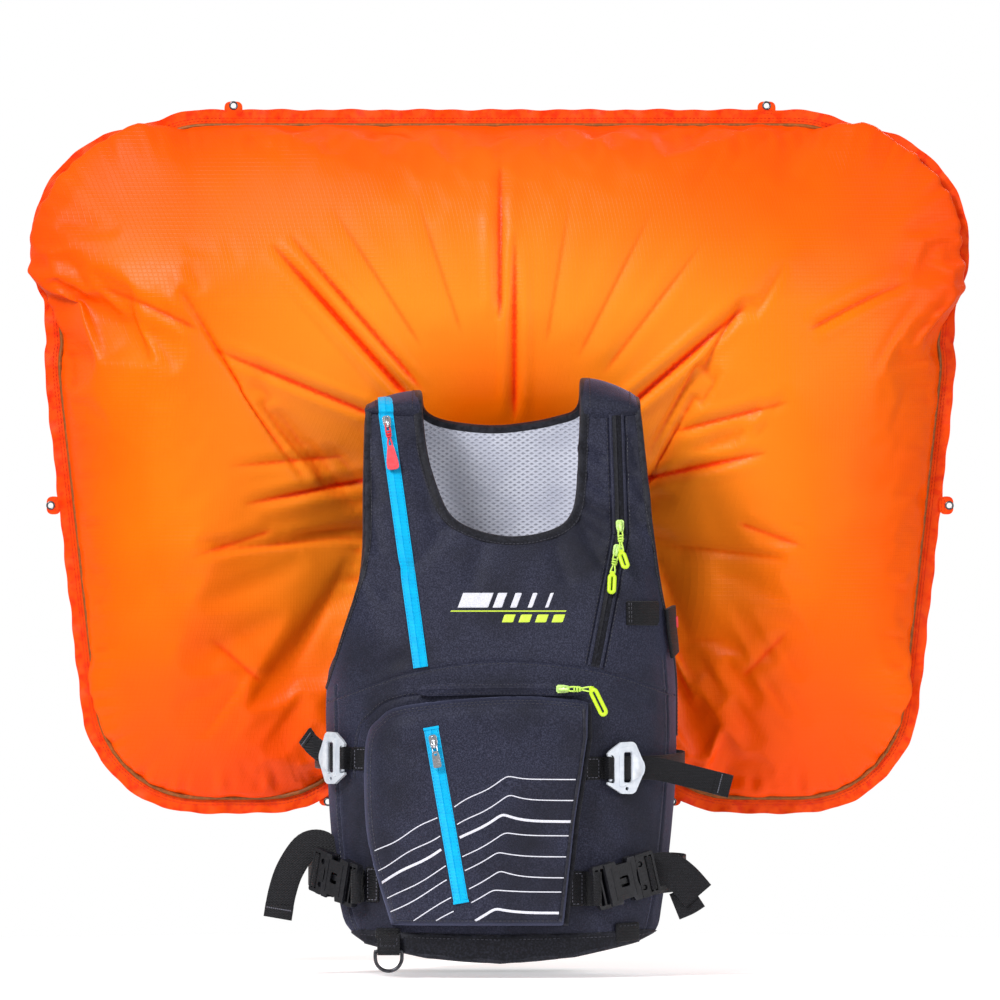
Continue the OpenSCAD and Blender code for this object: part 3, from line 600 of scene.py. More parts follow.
def softshell():
    s = Shader("softshell", (0.012, 0.013, 0.028), 0.60, sheen=0.36, shine=0.18)
    s.surface.inputs["Sheen Tint"].default_value = (0.46, 0.50, 0.84, 1)
    s.tint((0.044, 0.046, 0.080), 1.5, 0.42, 0.72).tint((0.008, 0.008, 0.014), 90, 0.45, 0.75)
    return s.weave(0.9, 0.07).grain(2.5, 0.10).done()


def binding_cloth():
    s = Shader("binding_cloth", (0.005, 0.005, 0.008), 0.50, sheen=0.10, shine=0.14)
    s.tint((0.018, 0.019, 0.029), 2.2, 0.45, 0.75).weave(0.7, 0.06)
    return s.grain(3, 0.12).worn((0.09, 0.09, 0.12)).done()


def pack_cloth():
    s = Shader("pack_cloth", (0.012, 0.012, 0.017), 0.58, sheen=0.15, shine=0.2)
    s.tint((0.034, 0.034, 0.042), 2.0, 0.42, 0.7).weave(1.5, 0.16, 0.5)
    return s.grain(30, 0.3).worn((0.07, 0.07, 0.08)).done()


def webbing_cloth():
    s = Shader("webbing_cloth", (0.004, 0.004, 0.006), 0.55, sheen=0.12, shine=0.2)
    return s.tint((0.012, 0.012, 0.016), 1.6, 0.42, 0.7).weave(1.3, 0.20, 0.5).ribs(2, 3.2, 0.10, 0.3).done()


def lining_mesh():
    """Spacer mesh: pale threads round darker diamond openings."""
    s = Shader("lining_mesh", (0.66, 0.68, 0.80), 0.7, sheen=0.2)
    x, _, z = s.axes()
    a = s.wave(s.math("ADD", s.math("MULTIPLY", x, 0.62), z), 5.8)
    b = s.wave(s.math("SUBTRACT", s.math("MULTIPLY", x, 0.62), z), 5.8)
    cell = s.math("MINIMUM", a, b)
    s.color = s.mix(s.ramp(cell, -0.15, 0.55), s.color, s.rgb((0.40, 0.42, 0.52)))
    s.raise_by(s.ramp(cell, 0.6, -0.4), 0.9)
    return s.tint((0.50, 0.52, 0.64), 40, 0.4, 0.75).grain(1.2, 0.08).done()


def zip_cloth(name, color, shade):
    s = Shader(name, color, 0.42, sheen=0.05, shine=0.16)
    return s.tint(shade, 12, 0.4, 0.75).ribs(2, 1.5, 0.12, 0.35).grain(0.8, 0.03).done()


def ripstop():
    """Thin coated nylon with a fine grid of thicker threads, redder where it folds: painted shade in its creases and
    towards its edges, and a painted highlight round the neck.
    """
    s = Shader("ripstop", (1.0, 0.138, 0.0), 0.36, shine=0.13)
    x, y, z = s.axes()

    def toward(color, amount):
        s.color = s.mix(amount, s.color, s.rgb(color))

    grid = s.math("MAXIMUM", s.wave(s.math("MULTIPLY_ADD", y, 0.7, x), 4.4), s.wave(z, 4.4))
    s.raise_by(s.ramp(grid, 0.75, 1.0), 0.10)
    toward((0.90, 0.080, 0.0), s.math("MULTIPLY", s.ramp(grid, 0.8, 1.0), 0.18))
    s.tint((1.0, 0.175, 0.0), 260, 0.40, 0.60)
    # painted highlight: yellower in a ring round the wearer's head (metres here)
    above = s.math("SUBTRACT", z, 0.56)
    fan = s.math("SQRT", s.math("ADD", s.math("MULTIPLY", x, x), s.math("MULTIPLY", above, above)))
    toward((1.0, 0.245, 0.012), s.math("MULTIPLY", s.ramp(fan, 0.40, 0.22), s.ramp(fan, 0.06, 0.16)))
    # painted shade: redder towards the sides, top and feet
    side = s.ramp(s.math("ABSOLUTE", x), 0.38, 0.52)
    rim = s.math("MAXIMUM", side, s.math("MAXIMUM", s.ramp(z, 0.72, 0.93), s.ramp(z, 0.40, 0.18)))
    toward((1.0, 0.055, 0.0), s.math("MULTIPLY", rim, s.math("MULTIPLY_ADD", s.noise(120), 0.5, 0.55)))
    # painted shade: deep red along the front's sharp creases, read from the fold attribute
    fold = s.tree.nodes.new("ShaderNodeAttribute")
    fold.attribute_name = "fold"
    toward((0.95, 0.012, 0.0), fold.outputs["Fac"])
    # painted shade: redder where the surface curves inward, in folds and hollows
    toward((0.93, 0.045, 0.0), s.math("MULTIPLY", s.ramp(s.edges(), 0.497, 0.44), 0.9))
    return s.grain(14, 0.12, 0.08).done()


def flange_cloth():
    # A redder, darker copy of the bag's nylon: painted shade on the seam flange.
    s = Shader("flange_cloth", (0.96, 0.075, 0.0), 0.5, shine=0.15)
    return s.tint((0.80, 0.030, 0.0), 9, 0.45, 0.7).weave(1.2, 0.07).grain(6, 0.3).done()


def plain(name, color, other, rough, size=5.0, metal=0.0, depth=0.05, wear=None, coat=0.0, shine=0.5):
    s = Shader(name, color, rough, metal=metal, coat=coat, shine=shine)
    s.tint(other, size, 0.4, 0.7).grain(size * 0.3, depth, 0.2)
    if wear:
        s.worn(wear)
    return s.done()


SOFTSHELL, BINDING, PACK, WEBBING = softshell(), binding_cloth(), pack_cloth(), webbing_cloth()
LINING, RIPSTOP, FLANGE = lining_mesh(), ripstop(), flange_cloth()
BLUE_ZIP = zip_cloth("blue_zip", (0.0, 0.47, 0.86), (0.0, 0.56, 0.95))
BLACK_ZIP = zip_cloth("black_zip", (0.012, 0.012, 0.016), (0.03, 0.03, 0.04))
BLUE_THREAD = plain("blue_thread", (0.0, 0.22, 0.52), (0.0, 0.30, 0.62), 0.5)
DARK_THREAD = plain("dark_thread", (0.045, 0.045, 0.062), (0.02, 0.02, 0.028), 0.5)
RED_THREAD = plain("red_thread", (0.75, 0.03, 0.0), (0.55, 0.02, 0.0), 0.5)
SEAM_TAPE = plain("seam_tape", (0.20, 0.065, 0.004), (0.38, 0.09, 0.003), 0.6, 4)
PLASTIC = plain("black_plastic", (0.005, 0.005, 0.007), (0.010, 0.010, 0.013), 0.30, 3,
                wear=(0.04, 0.04, 0.05), shine=0.3)
SILVER = plain("silver_alloy", (0.56, 0.60, 0.67), (0.66, 0.70, 0.76), 0.42, 7, metal=0.25,
               wear=(0.85, 0.87, 0.9))
CHROME = plain("bright_metal", (0.72, 0.73, 0.76), (0.55, 0.56, 0.6), 0.22, 4, metal=1.0)
RING_METAL = plain("ring_metal", (0.022, 0.022, 0.026), (0.05, 0.05, 0.06), 0.3, 4, metal=0.7,
                   wear=(0.3, 0.3, 0.32))
LIME_METAL = plain("lime_metal", (0.60, 0.86, 0.22), (0.74, 0.92, 0.42), 0.32, 3, coat=0.4)
LIME = plain("lime_rubber", (0.60, 0.86, 0.02), (0.50, 0.74, 0.01), 0.45, 3)
LIME_CORD = plain("lime_cord", (0.66, 0.90, 0.16), (0.48, 0.75, 0.06), 0.6, 1.2, depth=0.25)
RED_CORD = plain("red_cord", (0.90, 0.04, 0.06), (0.62, 0.02, 0.03), 0.6, 1.2, depth=0.25)
RED_PLASTIC = plain("red_rubber", (0.92, 0.065, 0.085), (0.80, 0.04, 0.055), 0.42, 4)
WHITE_PRINT = plain("white_print", (0.72, 0.72, 0.80), (0.56, 0.56, 0.64), 0.55, 1.5)
LIME_PRINT = plain("lime_print", (0.62, 0.80, 0.06), (0.52, 0.70, 0.04), 0.55, 1.5)
GREY_THREAD = plain("grey_thread", (0.16, 0.16, 0.20), (0.10, 0.10, 0.13), 0.5)


# ---------- front of the vest ----------

NECK = smooth(NECKLINE)
FRONT_OUTLINE = np.vstack([smooth(EDGE_RIGHT), smooth(HEM)[1:], smooth(EDGE_LEFT)[::-1][1:], NECK[::-1]])
CHEST_ZIP_LINE = [(127, 598), (131, 466), (103, 322)]
SIDE_SEAM_RIGHT = [(x + 12, z) for x, z in EDGE_RIGHT[4:8]]
SIDE_SEAM_LEFT = [(x - 12, z) for x, z in EDGE_LEFT[3:8]]


SEAM_LINES = [smooth(YOKE_SEAM), smooth(SIDE_SEAM_RIGHT), smooth(SIDE_SEAM_LEFT),
              shifted(CHEST_ZIP_LINE, 8.5), shifted(CHEST_ZIP_LINE, -8.5),
              shifted(smooth(POUCH_EDGE[2:]), -9)]


def front_relief(sz):
    """Sewn grooves with a soft roll of fabric on each side."""
    out = np.zeros(len(sz))
    for line in SEAM_LINES:
        d, _ = line_distance(to_s(line), sz)
        out += -1.1 * np.exp(-(d / 1.3) ** 2) + 0.6 * np.exp(-((d - 4.0) / 2.6) ** 2)
    return out


def add_front_panel():
    extra = []
    for line in SEAM_LINES:
        flat = resample(to_s(line), 3.2)
        extra += [shifted(flat, d) for d in (-3.2, -1.2, 0, 1.2, 3.2)]
    b = Build().add(vest_sheet(FRONT_OUTLINE, -4, 0, 4.6, (0.6, 2.0), front_relief, np.vstack(extra)))
    rows = [shifted(line, 2.6) for line in SEAM_LINES[:3]]
    rows += [shifted(CHEST_ZIP_LINE, 10.8), shifted(CHEST_ZIP_LINE, -10.8), shifted(SEAM_LINES[5], -2.4)]
    for row in rows:
        b.add(stitches(*vest_line(row, 0.35), lift=0.25), 1)
    make("front_panel_cloth", b, [SOFTSHELL, DARK_THREAD], stands_for=["front_panel"])


def yoke_point(x, angle, rise, lift=0.0):
    """Point on a shoulder arch; angle 0 is the front foot and 180 the rear one."""
    a = np.radians(angle)
    r = YOKE_HALF + lift
    return np.stack([x, YOKE_MID_Y - r * np.cos(a), SHOULDER_Z + 0.5 + (rise + lift) * np.sin(a)], axis=-1)


YOKES = {"right": ((-146, 4), (-86, 18.5)), "left": ((152, 12), (88, 32.5))}    # (X, rise) at each edge


def add_yokes():
    """Padded arches over the shoulders, lower at the arm than at the neck."""
    b = Build()
    for (x0, rise0), (x1, rise1) in YOKES.values():
        u = np.linspace(0, 1, 17)
        angles = np.linspace(-15, 195, 39)
        thick = 4.2 * np.sqrt(np.clip(1 - (2 * u - 1) ** 6, 0, 1)) + 0.2
        ripple = 0.7 * np.sin(angles / 9.0) * np.exp(-((angles - 90) / 80) ** 2)
        rows = []
        for a, wave in zip(angles, ripple):
            x, rise = x0 + (x1 - x0) * u, rise0 + (rise1 - rise0) * np.sin(u * np.pi / 2)
            top = yoke_point(x, np.full_like(u, a), rise, thick + wave * np.sin(u * np.pi))
            bottom = yoke_point(x, np.full_like(u, a), rise, -thick)
            rows.append(np.vstack([top, bottom[::-1]]))
        b.add((np.vstack(rows), tube_faces(len(angles), 34, False)))
        for edge in (0.16, 0.84):
            a = np.linspace(5, 175, 60)
            rise = rise0 + (rise1 - rise0) * math.sin(edge * math.pi / 2)
            path = yoke_point(np.full_like(a, x0 + (x1 - x0) * edge), a, rise, 4.3)
            up = unit(path - np.array([0, YOKE_MID_Y, SHOULDER_Z - 40]) * [0, 1, 1] - path * [1, 0, 0])
            b.add(stitches(path, up, lift=0.2), 1)
    for (x0, rise0), (x1, rise1) in YOKES.values():
        seam = np.array([(x0, SHOULDER_Z - 1), (x1, SHOULDER_Z - 1)])
        b.add(stitches(*vest_line(seam, 0.9)), 1)
    make("shoulder_yokes_cloth", b, [SOFTSHELL, DARK_THREAD], stands_for=["shoulder_yokes"])


def add_neck_binding():
    """One folded tape round the neck opening: across the chest, over both shoulders and along the back."""
    front, up_f = vest_line(NECK, -1.4, 3.0)
    front, up_f = front[2:-2], up_f[2:-2]
    a = np.linspace(8, 172, 20)
    (xr, rr), (xl, rl) = YOKES["right"][1], YOKES["left"][1]
    def over(x, rise, angles):
        path = yoke_point(np.full_like(angles, x, dtype=float), angles, rise, 0.0)
        up = np.c_[np.zeros(len(angles)), -np.cos(np.radians(angles)), np.sin(np.radians(angles))]
        return path, up
    left, up_l = over(xl, rl, a)
    right, up_r = over(xr, rr, a[::-1])
    rear = resample(smooth(BACK_NECK)[::-1], 4)[1:-1]
    rear_path = at_depth(rear - [0, 0.5], 6.8)
    up_b = np.tile([0.0, 1.0, 0.0], (len(rear), 1))
    path = np.vstack([front, left, rear_path, right])
    up = np.vstack([up_f, up_l, up_b, up_r])
    thick = np.r_[np.full(len(front), 5.8), np.linspace(6.5, 14, len(a)), np.full(len(rear), 16.4),
                  np.linspace(14, 6.5, len(a))]
    up = soften(up, 6)
    for _ in range(6):
        path = np.where(np.abs(np.roll(path, 1, 0) - path).max(1)[:, None] < 14,
                        (np.roll(path, 1, 0) + 2 * path + np.roll(path, -1, 0)) / 4, path)
        thick = (np.roll(thick, 1) + thick + np.roll(thick, -1)) / 3
    t = tangents(path, True)
    side = np.cross(t, up)
    out = path + side * 4.6
    wide = np.c_[np.ones(len(path)), thick / 5.8]
    b = Build().add(sweep(out, up, band(BINDING_W, 5.8, -2.9), True, wide))
    row = path + side * 8.6 + up * (thick[:, None] / 2)
    b.add(stitches(row, up, 4.2, 2.9, 0.4, 0.1), 1)
    make("neck_binding_tape", b, [BINDING, DARK_THREAD], stands_for=["neck_binding"])


def add_armhole_bindings():
    """Folded tapes from the side seam, up the armhole, over the shoulder and down the back."""
    b = Build()
    for edge, (x, rise), s in ((EDGE_RIGHT, YOKES["right"][0], -1), (EDGE_LEFT, YOKES["left"][0], 1)):
        front, up_f = vest_line(smooth(edge[:5])[::-1], -1.3, 4)
        a = np.linspace(6, 174, 18)
        over = yoke_point(np.full_like(a, x), a, rise, 0.0)
        up_o = np.c_[np.zeros(len(a)), -np.cos(np.radians(a)), np.sin(np.radians(a))]
        rear = resample(smooth([(s * px, pz) for px, pz in BACK_SIDE[:5]]), 5)[1:]
        back = at_depth(rear, 7.0)
        path = np.vstack([front[:-1], over, back])
        up = np.vstack([up_f[:-1], up_o, np.tile([0.0, 1.0, 0.0], (len(rear), 1))])
        thick = np.r_[np.full(len(front) - 1, 5.4), np.linspace(6, 13, len(a)), np.full(len(rear), 13.4)]
        for _ in range(5):
            path[1:-1] = (path[:-2] + 2 * path[1:-1] + path[2:]) / 4
            up[1:-1] = unit(up[:-2] + up[1:-1] + up[2:])
            thick[1:-1] = (thick[:-2] + thick[1:-1] + thick[2:]) / 3
        inner = np.cross(tangents(path), up) * -s
        inner *= np.sign((inner[:, :1] * -s).mean()) or 1
        wide = np.c_[np.full(len(path), 0.75), thick / 10]
        b.add(sweep(path + inner * 2.6, up, band(10, 10, -5), False, wide))
        b.add(stitches(path + inner * 5.2 + up * (thick[:, None] / 2), up, 4.2, 2.9, 0.4, 0.1), 1)
    make("armhole_binding_tapes", b, [BINDING, DARK_THREAD], stands_for=["armhole_bindings"])


def back_outline(grow):
    side = smooth([(x + grow, z) for x, z in BACK_SIDE[:-1]] + [(148, 24), (80, 10), (0, 4)])
    foot = np.interp(side[:, 0], [0, 80, 146, 163, 175, 190], [0, 6.5, 21, 33, 60, 165]) + 3
    side[:, 1] = np.maximum(side[:, 1], foot)
    return np.vstack([smooth(BACK_NECK)[:-1] - [0, 2.2], side, (side * [-1, 1])[::-1][1:-1]])


def pad(outline, y0, y1, step=9, round_to=5.0, relief=None):
    """A padded panel between two depths, pillowed towards its rim."""
    poly = resample(outline, step * 0.7, True)
    xz, tris = fill(poly, step, (0.8, 2.5, 5))
    gap, _ = line_distance(poly, xz, True)
    share = np.sqrt(1 - np.clip(1 - gap / round_to, 0, 1) ** 2) * 0.97 + 0.03
    depth = np.zeros(len(xz)) if relief is None else relief(xz) * share
    mid, half = (y0 + y1) / 2, (y1 - y0) / 2
    n = len(xz)
    verts = np.vstack([at_depth(xz, mid - half * share), at_depth(xz, mid + half * share + depth)])
    after = [(i + 1) % len(poly) for i in range(len(poly))]
    faces = [tuple(q) for q in tris] + [tuple(q[::-1] + n) for q in tris]
    faces += [(i, j, n + j, n + i) for i, j in enumerate(after)]
    return verts, faces


def back_relief(xz):
    """Sewn channels in the back panel's padding."""
    x, z = xz[:, 0], xz[:, 1]
    lines = [[(-60, 560), (-60, 30)], [(60, 560), (60, 30)], [(-140, 480), (140, 480)],
             [(-170, 120), (170, 120)]]
    out = np.zeros(len(xz))
    for line in lines:
        out -= 2.2 * np.exp(-(line_distance(line, xz)[0] / 4) ** 2)
    return out + 0.5 * np.sin(x / 21) * np.sin(z / 33)


def add_back():
    make("back_lining_mesh", pad(back_outline(-5), 0, 2.7, 9, 2.0), [LINING], stands_for=["back_lining"])
    make("back_panel_pad", pad(back_outline(0), 3, 12, 8, 6.0, back_relief), [PACK], stands_for=["back_panel"])


# ---------- pouch and hem ----------

POUCH_OUTLINE = np.vstack([smooth(POUCH_EDGE), [(95, 245), (81, 153), (69, 41)]])
POUCH_RIM = resample(POUCH_OUTLINE, 4, True)
POUCH_PUCKERS = [((-110, 70), (-95, 105), 8, 1.2), ((60, 60), (40, 95), 9, 1.0), ((-120, 240), (-95, 225), 8, 1.1),
                 ((75, 180), (50, 172), 8, 1.2), ((-20, 262), (-5, 240), 9, 0.9), ((30, 262), (38, 244), 7, 0.8)]


def pouch_plane(z):
    return POUCH_Y + (z - 60) * math.tan(math.radians(POUCH_LEAN))


def pouch_y(x, z):
    """Depth of the pouch's front: flat in the middle, rolling into the vest at its seams."""
    xz = np.c_[x, z]
    vest = surface(to_s(xz))[0][:, 1]
    gap, _ = line_distance(POUCH_RIM, xz, True)
    edges = ((smooth(POUCH_EDGE[:8]), 24.0), ([(96, 281), (95, 245), (81, 153), (69, 41)], 3.5),
             ([(69, 41), (-118, 41)], 9.0))
    rise = np.ones(len(xz))
    for line, reach in edges:
        rise *= np.sqrt(1 - np.clip(1 - line_distance(line, xz)[0] / reach, 0, 1) ** 2)
    front = np.maximum(pouch_plane(z), vest - 27)
    front = front + 3.0 * np.exp(-(np.hypot(x - 66, z - 236) / 22) ** 2)
    for a, b, w, depth in POUCH_PUCKERS:
        front += depth * np.exp(-(line_distance([a, b], xz)[0] / w) ** 2)
    within = inside(POUCH_OUTLINE, xz) | (gap < 0.3)
    return np.where(within, vest - 0.4 + (front - vest) * rise, vest)


def pouch_line(points, out=0.0, step=3.0):
    p = resample(points, step)
    def at(x, z):
        return np.c_[x, pouch_y(x, z), z]
    x, z = p[:, 0], p[:, 1]
    normal = unit(np.cross(at(x + 1, z) - at(x - 1, z), at(x, z + 1) - at(x, z - 1)))
    return at(x, z) + normal * out, normal


def add_pouch():
    xz, tris = fill(POUCH_RIM, 5.0, (0.6, 1.5, 3.0, 4.5))
    front = at_depth(xz, pouch_y(xz[:, 0], xz[:, 1]))
    gap, _ = line_distance(POUCH_RIM, xz, True)
    back = surface(to_s(xz), 0.3)[0]
    rim = gap < 0.01
    back[rim] = front[rim]
    n = len(xz)
    b = Build().add((np.vstack([front, back]), [tuple(q) for q in tris] + [tuple(q[::-1] + n) for q in tris]))
    for row in (shifted(smooth(POUCH_EDGE), 4.5), shifted(smooth(POUCH_EDGE), 7.5), [(-112, 47), (66, 47)]):
        b.add(stitches(*pouch_line(row, 0.1)), 1)
    path, up = vest_line([(96, 282), (97, 245), (83, 153), (71, 41)], 0.2, 3)
    b.add(sweep(path, up, band(5.5, 3.2)), 2)
    path, up = pouch_line([(91, 276), (91.5, 245), (77.5, 153), (65.5, 47)], 0.0)
    b.add(cord(path + up * 0.4, 1.5), 2)
    make("cargo_pouch_cloth", b, [SOFTSHELL, DARK_THREAD, BINDING], stands_for=["cargo_pouch"])


def add_pouch_print():
    """Plain rising lines across the pouch, with a gap for the pocket zip."""
    b = Build()
    for k in range(8):
        top_x, top_z = 8 - 2.6 * k + 5 * (k % 2), 203 - 20.3 * k
        x = np.linspace(-142, 82 - 2.6 * k, 110)
        fall = x - top_x
        z = np.where(fall < 0, top_z + 0.57 * fall,
                     top_z - (3 + 2.5 * (k % 3)) * (1 - np.exp(-np.maximum(fall, 0) / 16)))
        z += 1.3 * np.sin(x / (8 + k)) * np.exp(-np.maximum(fall, 0) / 12)
        for _ in range(3):
            z[1:-1] = (z[:-2] + z[1:-1] + z[2:]) / 3
        flat = np.c_[x, z]
        keep = inside(POUCH_OUTLINE, flat) & (line_distance(POUCH_RIM, flat, True)[0] > 4) & (z > 47)
        zip_x = POCKET_ZIP[0] - (z - POCKET_ZIP[1]) * math.tan(math.radians(POCKET_ZIP_TURN))
        for part in (keep & (x < zip_x - 9.5), keep & (x > zip_x + 9.5)):
            if part.sum() > 5:
                path, up = pouch_line(flat[part], 0.12, 2.5)
                b.add(sweep(path, up, band(2.8 if k in (2, 7) else 1.15, 0.3)))
    make("pouch_print", b, [WHITE_PRINT])


def add_chest_mark():
    """A plain mark of slanted bars over a thin line."""
    b = Build()
    def bar(x0, x1, z0, z1, lean, mat):
        corners = [(x0, z0), (x1, z0), (x1 + lean, z1), (x0 + lean, z1)]
        b.add(vest_sheet(corners, 0.1, 0.45, 3.0, (0.4,)), mat)
    for i, w in enumerate((20, 14, 10, 7, 5, 3.5)):
        bar(-46 + 19 * i, -46 + 19 * i + w, 386, 402, 6, 0)
    bar(-54, 72, 381.5, 382.9, 0.4, 1)
    for i in range(4):
        bar(2 + 18 * i, 14 + 18 * i, 370, 378.5, 3, 1)
    make("chest_mark", b, [WHITE_PRINT, LIME_PRINT])


def add_hem():
    outline = np.vstack([smooth(HEM), [(171, 34), (158, 36), (100, 33), (0, 31), (-100, 33), (-150, 36),
                                       (-163, 33)]])
    b = Build().add(vest_sheet(outline, 0.3, 3.3, 5, (0.6, 2.0), lambda sz: 0.8 * np.sin(sz[:, 0] / 9)
                               * np.exp(-((sz[:, 1] - 18) / 14) ** 2)))
    b.add(stitches(*vest_line([(-150, 30.5), (-100, 28), (0, 25.5), (100, 28), (160, 31)], 3.3)), 1)
    b.add(cord(vest_line(np.array(HEM) + [0, 2.2], 0.6)[0], 3.0, sides=10))
    make("hem_band_cloth", b, [BINDING, DARK_THREAD], stands_for=["hem_band"])


def add_hem_loops():
    """Webbing folded round the D-ring's bar, and the plain loop on the other side."""
    low, high = node_box("d_ring")
    bar_x, bar_y, bar_z = (low[0] + high[0]) / 2, -181.5, 13.0
    b = Build()
    down = arc(0, 0, 3.6, 0, -180, 10)
    rise = np.linspace(0, 19, 6)
    path = np.vstack([np.c_[np.full(6, bar_x), np.full(6, bar_y + 3.6), bar_z + rise[::-1]],
                      np.c_[np.full(11, bar_x), bar_y + down[:, 0], bar_z + down[:, 1]],
                      np.c_[np.full(6, bar_x), np.full(6, bar_y - 3.6), bar_z + rise]])
    out = np.vstack([np.tile([0.0, 1, 0], (6, 1)), np.c_[np.zeros(11), down / 3.6],
                     np.tile([0.0, -1, 0], (6, 1))])
    b.add(sweep(path, out, band(24.6, 1.7, -0.85)))
    for row in ([(-9, 6), (-9, 18)], [(9, 6), (9, 18)], [(-10, 6), (10, 6)]):
        b.add(stitches(at_depth(np.array(row) + [bar_x, bar_z], bar_y - 4.6), (0, -1, 0)), 1)
    b.add(vest_sheet([(-134, 26), (-108, 26), (-108, 38), (-134, 38)], 0.3, 5.0, 4))
    b.add(vest_sheet([(124, 22), (149, 24), (149, 44), (124, 43)], 3.0, 5.4, 4))
    b.add(stitches(*vest_line([(127, 40), (146, 41)], 5.3)), 1)
    make("hem_loops_webbing", b, [WEBBING, DARK_THREAD], stands_for=["hem_loops"])
    r, drop = 14.5, 7.0
    ring = np.vstack([np.c_[np.linspace(-r, r, 12)[:-1], np.zeros(11)], [(r, 0), (r, -3.5)],
                      arc(0, -drop, r, 0, -180, 24), [(-r, -3.5)]])
    ring = resample(ring, 2.0, True)
    wire = cord(at_depth(ring + [bar_x, bar_z], bar_y), 2.0, True, 12)
    make("d_ring_wire", wire, [RING_METAL], "d_ring", ["d_ring"])


# ---------- zips ----------

def on_plane(x, y, z, turned, lean):
    return shift(x, y, z) @ turn("X", -lean) @ turn("Y", turned)


def on_chest(x, z, turned):
    return on_plane(x, chest_y(z), z, turned, CHEST_LEAN)


POCKET_PLACE = on_plane(POCKET_ZIP[0], pouch_plane(POCKET_ZIP[1]), POCKET_ZIP[1],
                        -POCKET_ZIP_TURN, POUCH_LEAN)
ZIP_HALF = [(-8, -0.2), (-8, 0.5), (-5.5, 1.0), (-2.2, 1.15), (-0.7, 1.7)]
ZIP_PROFILE = ZIP_HALF + [(0, 1.05)] + [(-x, y) for x, y in ZIP_HALF[::-1]]


def zip_tape(b, path, up):
    """A zip: two tapes that meet over the coil, sewn down along both sides."""
    b.add(sweep(path, up, ZIP_PROFILE))
    side = np.cross(tangents(path), unit(up))
    for s in (-6.6, 6.6):
        b.add(stitches(path + side * s + up * 0.75, up, 3.8, 2.6, 0.35, 0.05), 1)


def add_zips():
    b = Build()
    tilt = math.radians(SHOULDER_ZIP_TURN)
    line = [(-86 - math.sin(tilt) * t, 321 + math.cos(tilt) * t * 0.964) for t in (0, 90, 180, 288)]
    path, up = vest_line(line, 1.0, 3)
    over = yoke_point(np.linspace(-124.3, -125.6, 6), np.linspace(-2, 60, 6), 11.9, 4.6)
    a = np.radians(np.linspace(-2, 60, 6))
    up_o = np.c_[np.zeros(6), -np.cos(a), np.sin(a)]
    zip_tape(b, np.vstack([path, over]), unit(np.vstack([up, up_o])))
    make("shoulder_zip_tape", b, [BLUE_ZIP, BLUE_THREAD], stands_for=["shoulder_zip"])

    b = Build()
    path, up = vest_line(CHEST_ZIP_LINE[:2], 0.35, 3)
    low, up_l = vest_line(CHEST_ZIP_LINE[1:], 0.35, 3)
    for p, u in ((path, up), (low[1:], up_l[1:])):
        zip_tape(b, p, u)
        side = np.cross(tangents(p), u)
        for s in (-6.5, 6.5):
            b.add(cord(p + side * s + u * 0.7, 1.7), 2)
    make("chest_zip_tape", b, [BINDING, DARK_THREAD, SOFTSHELL], stands_for=["chest_zip"])

    b = Build()
    x = np.linspace(-92, 92, 62)
    path = np.c_[x, np.full(62, FRONT_Y - 2.3), 298 - 1.6 * (x / 92) ** 2]
    taper = np.clip((94 - np.abs(x)) / 16, 0.1, 1) ** 0.5
    b.add(sweep(path, (0, -1, 0), ZIP_PROFILE, scale=np.c_[0.85 * taper, 0.9 * taper]))
    for s in (-4.6, 4.6):
        b.add(stitches(path[5:-5] + [0, -0.85, s], (0, -1, 0), 3.8, 2.6, 0.35, 0.0), 1)
    make("pouch_zip_tape", b, [SOFTSHELL, DARK_THREAD], stands_for=["pouch_zip"])

    b = Build()
    straight = np.c_[np.zeros(66), np.full(66, -0.2), np.linspace(0, 194, 66)]
    zip_tape(b, straight, np.tile([0.0, -1.0, 0.0], (66, 1)))
    for z0 in (1.5, 192.5):
        b.add(sweep(np.array([(-8.5, -0.9, z0), (0, -1.2, z0), (8.5, -0.9, z0)]), (0, -1, 0), band(3, 1.2)))
    make("pocket_zip_tape", moved(b, POCKET_PLACE), [BLUE_ZIP, BLUE_THREAD], stands_for=["pocket_zip"])


def slider_shape():
    """A zip slider: two plates, a bridge over them and the pin that carries the puller."""
    half = np.array([(2.8, 7), (4.5, 5.2), (4.4, -1), (3.4, -6), (2.2, -7)])
    body = np.vstack([half, (half * [-1, 1])[::-1]])
    b = Build()
    for size, y0, y1 in ((1, -1.3, 0), (0.92, -3.0, -1.7), ([0.35, 0.8], -1.9, -1.1)):
        b.add(plate([body * size], SLIDER_Y + y0, SLIDER_Y + y1))
    bridge = smooth([(0, SLIDER_Y - 2.6, 5.2), (0, SLIDER_Y - 5.0, 4.2), (0, SLIDER_Y - 7.4, 0.5),
                     (0, SLIDER_Y - 8.2, PULL_Z), (0, SLIDER_Y - 6.6, -7.2), (0, SLIDER_Y - 2.8, -7)], 4)
    b.add(sweep(bridge, (1, 0, 0), band(1.3, 3.2, -1.6)))
    for s in (-1, 1):
        b.add(plate([round_rect(4, 4.6, 1.6)], -0.6, 0.6), 0,
              shift(s * 3.1, SLIDER_Y - 4.6, PULL_Z) @ turn("Z", 90))
    b.add(cord([(-3.7, PULL_Y, PULL_Z), (0, PULL_Y, PULL_Z), (3.7, PULL_Y, PULL_Z)], 0.8))
    return b


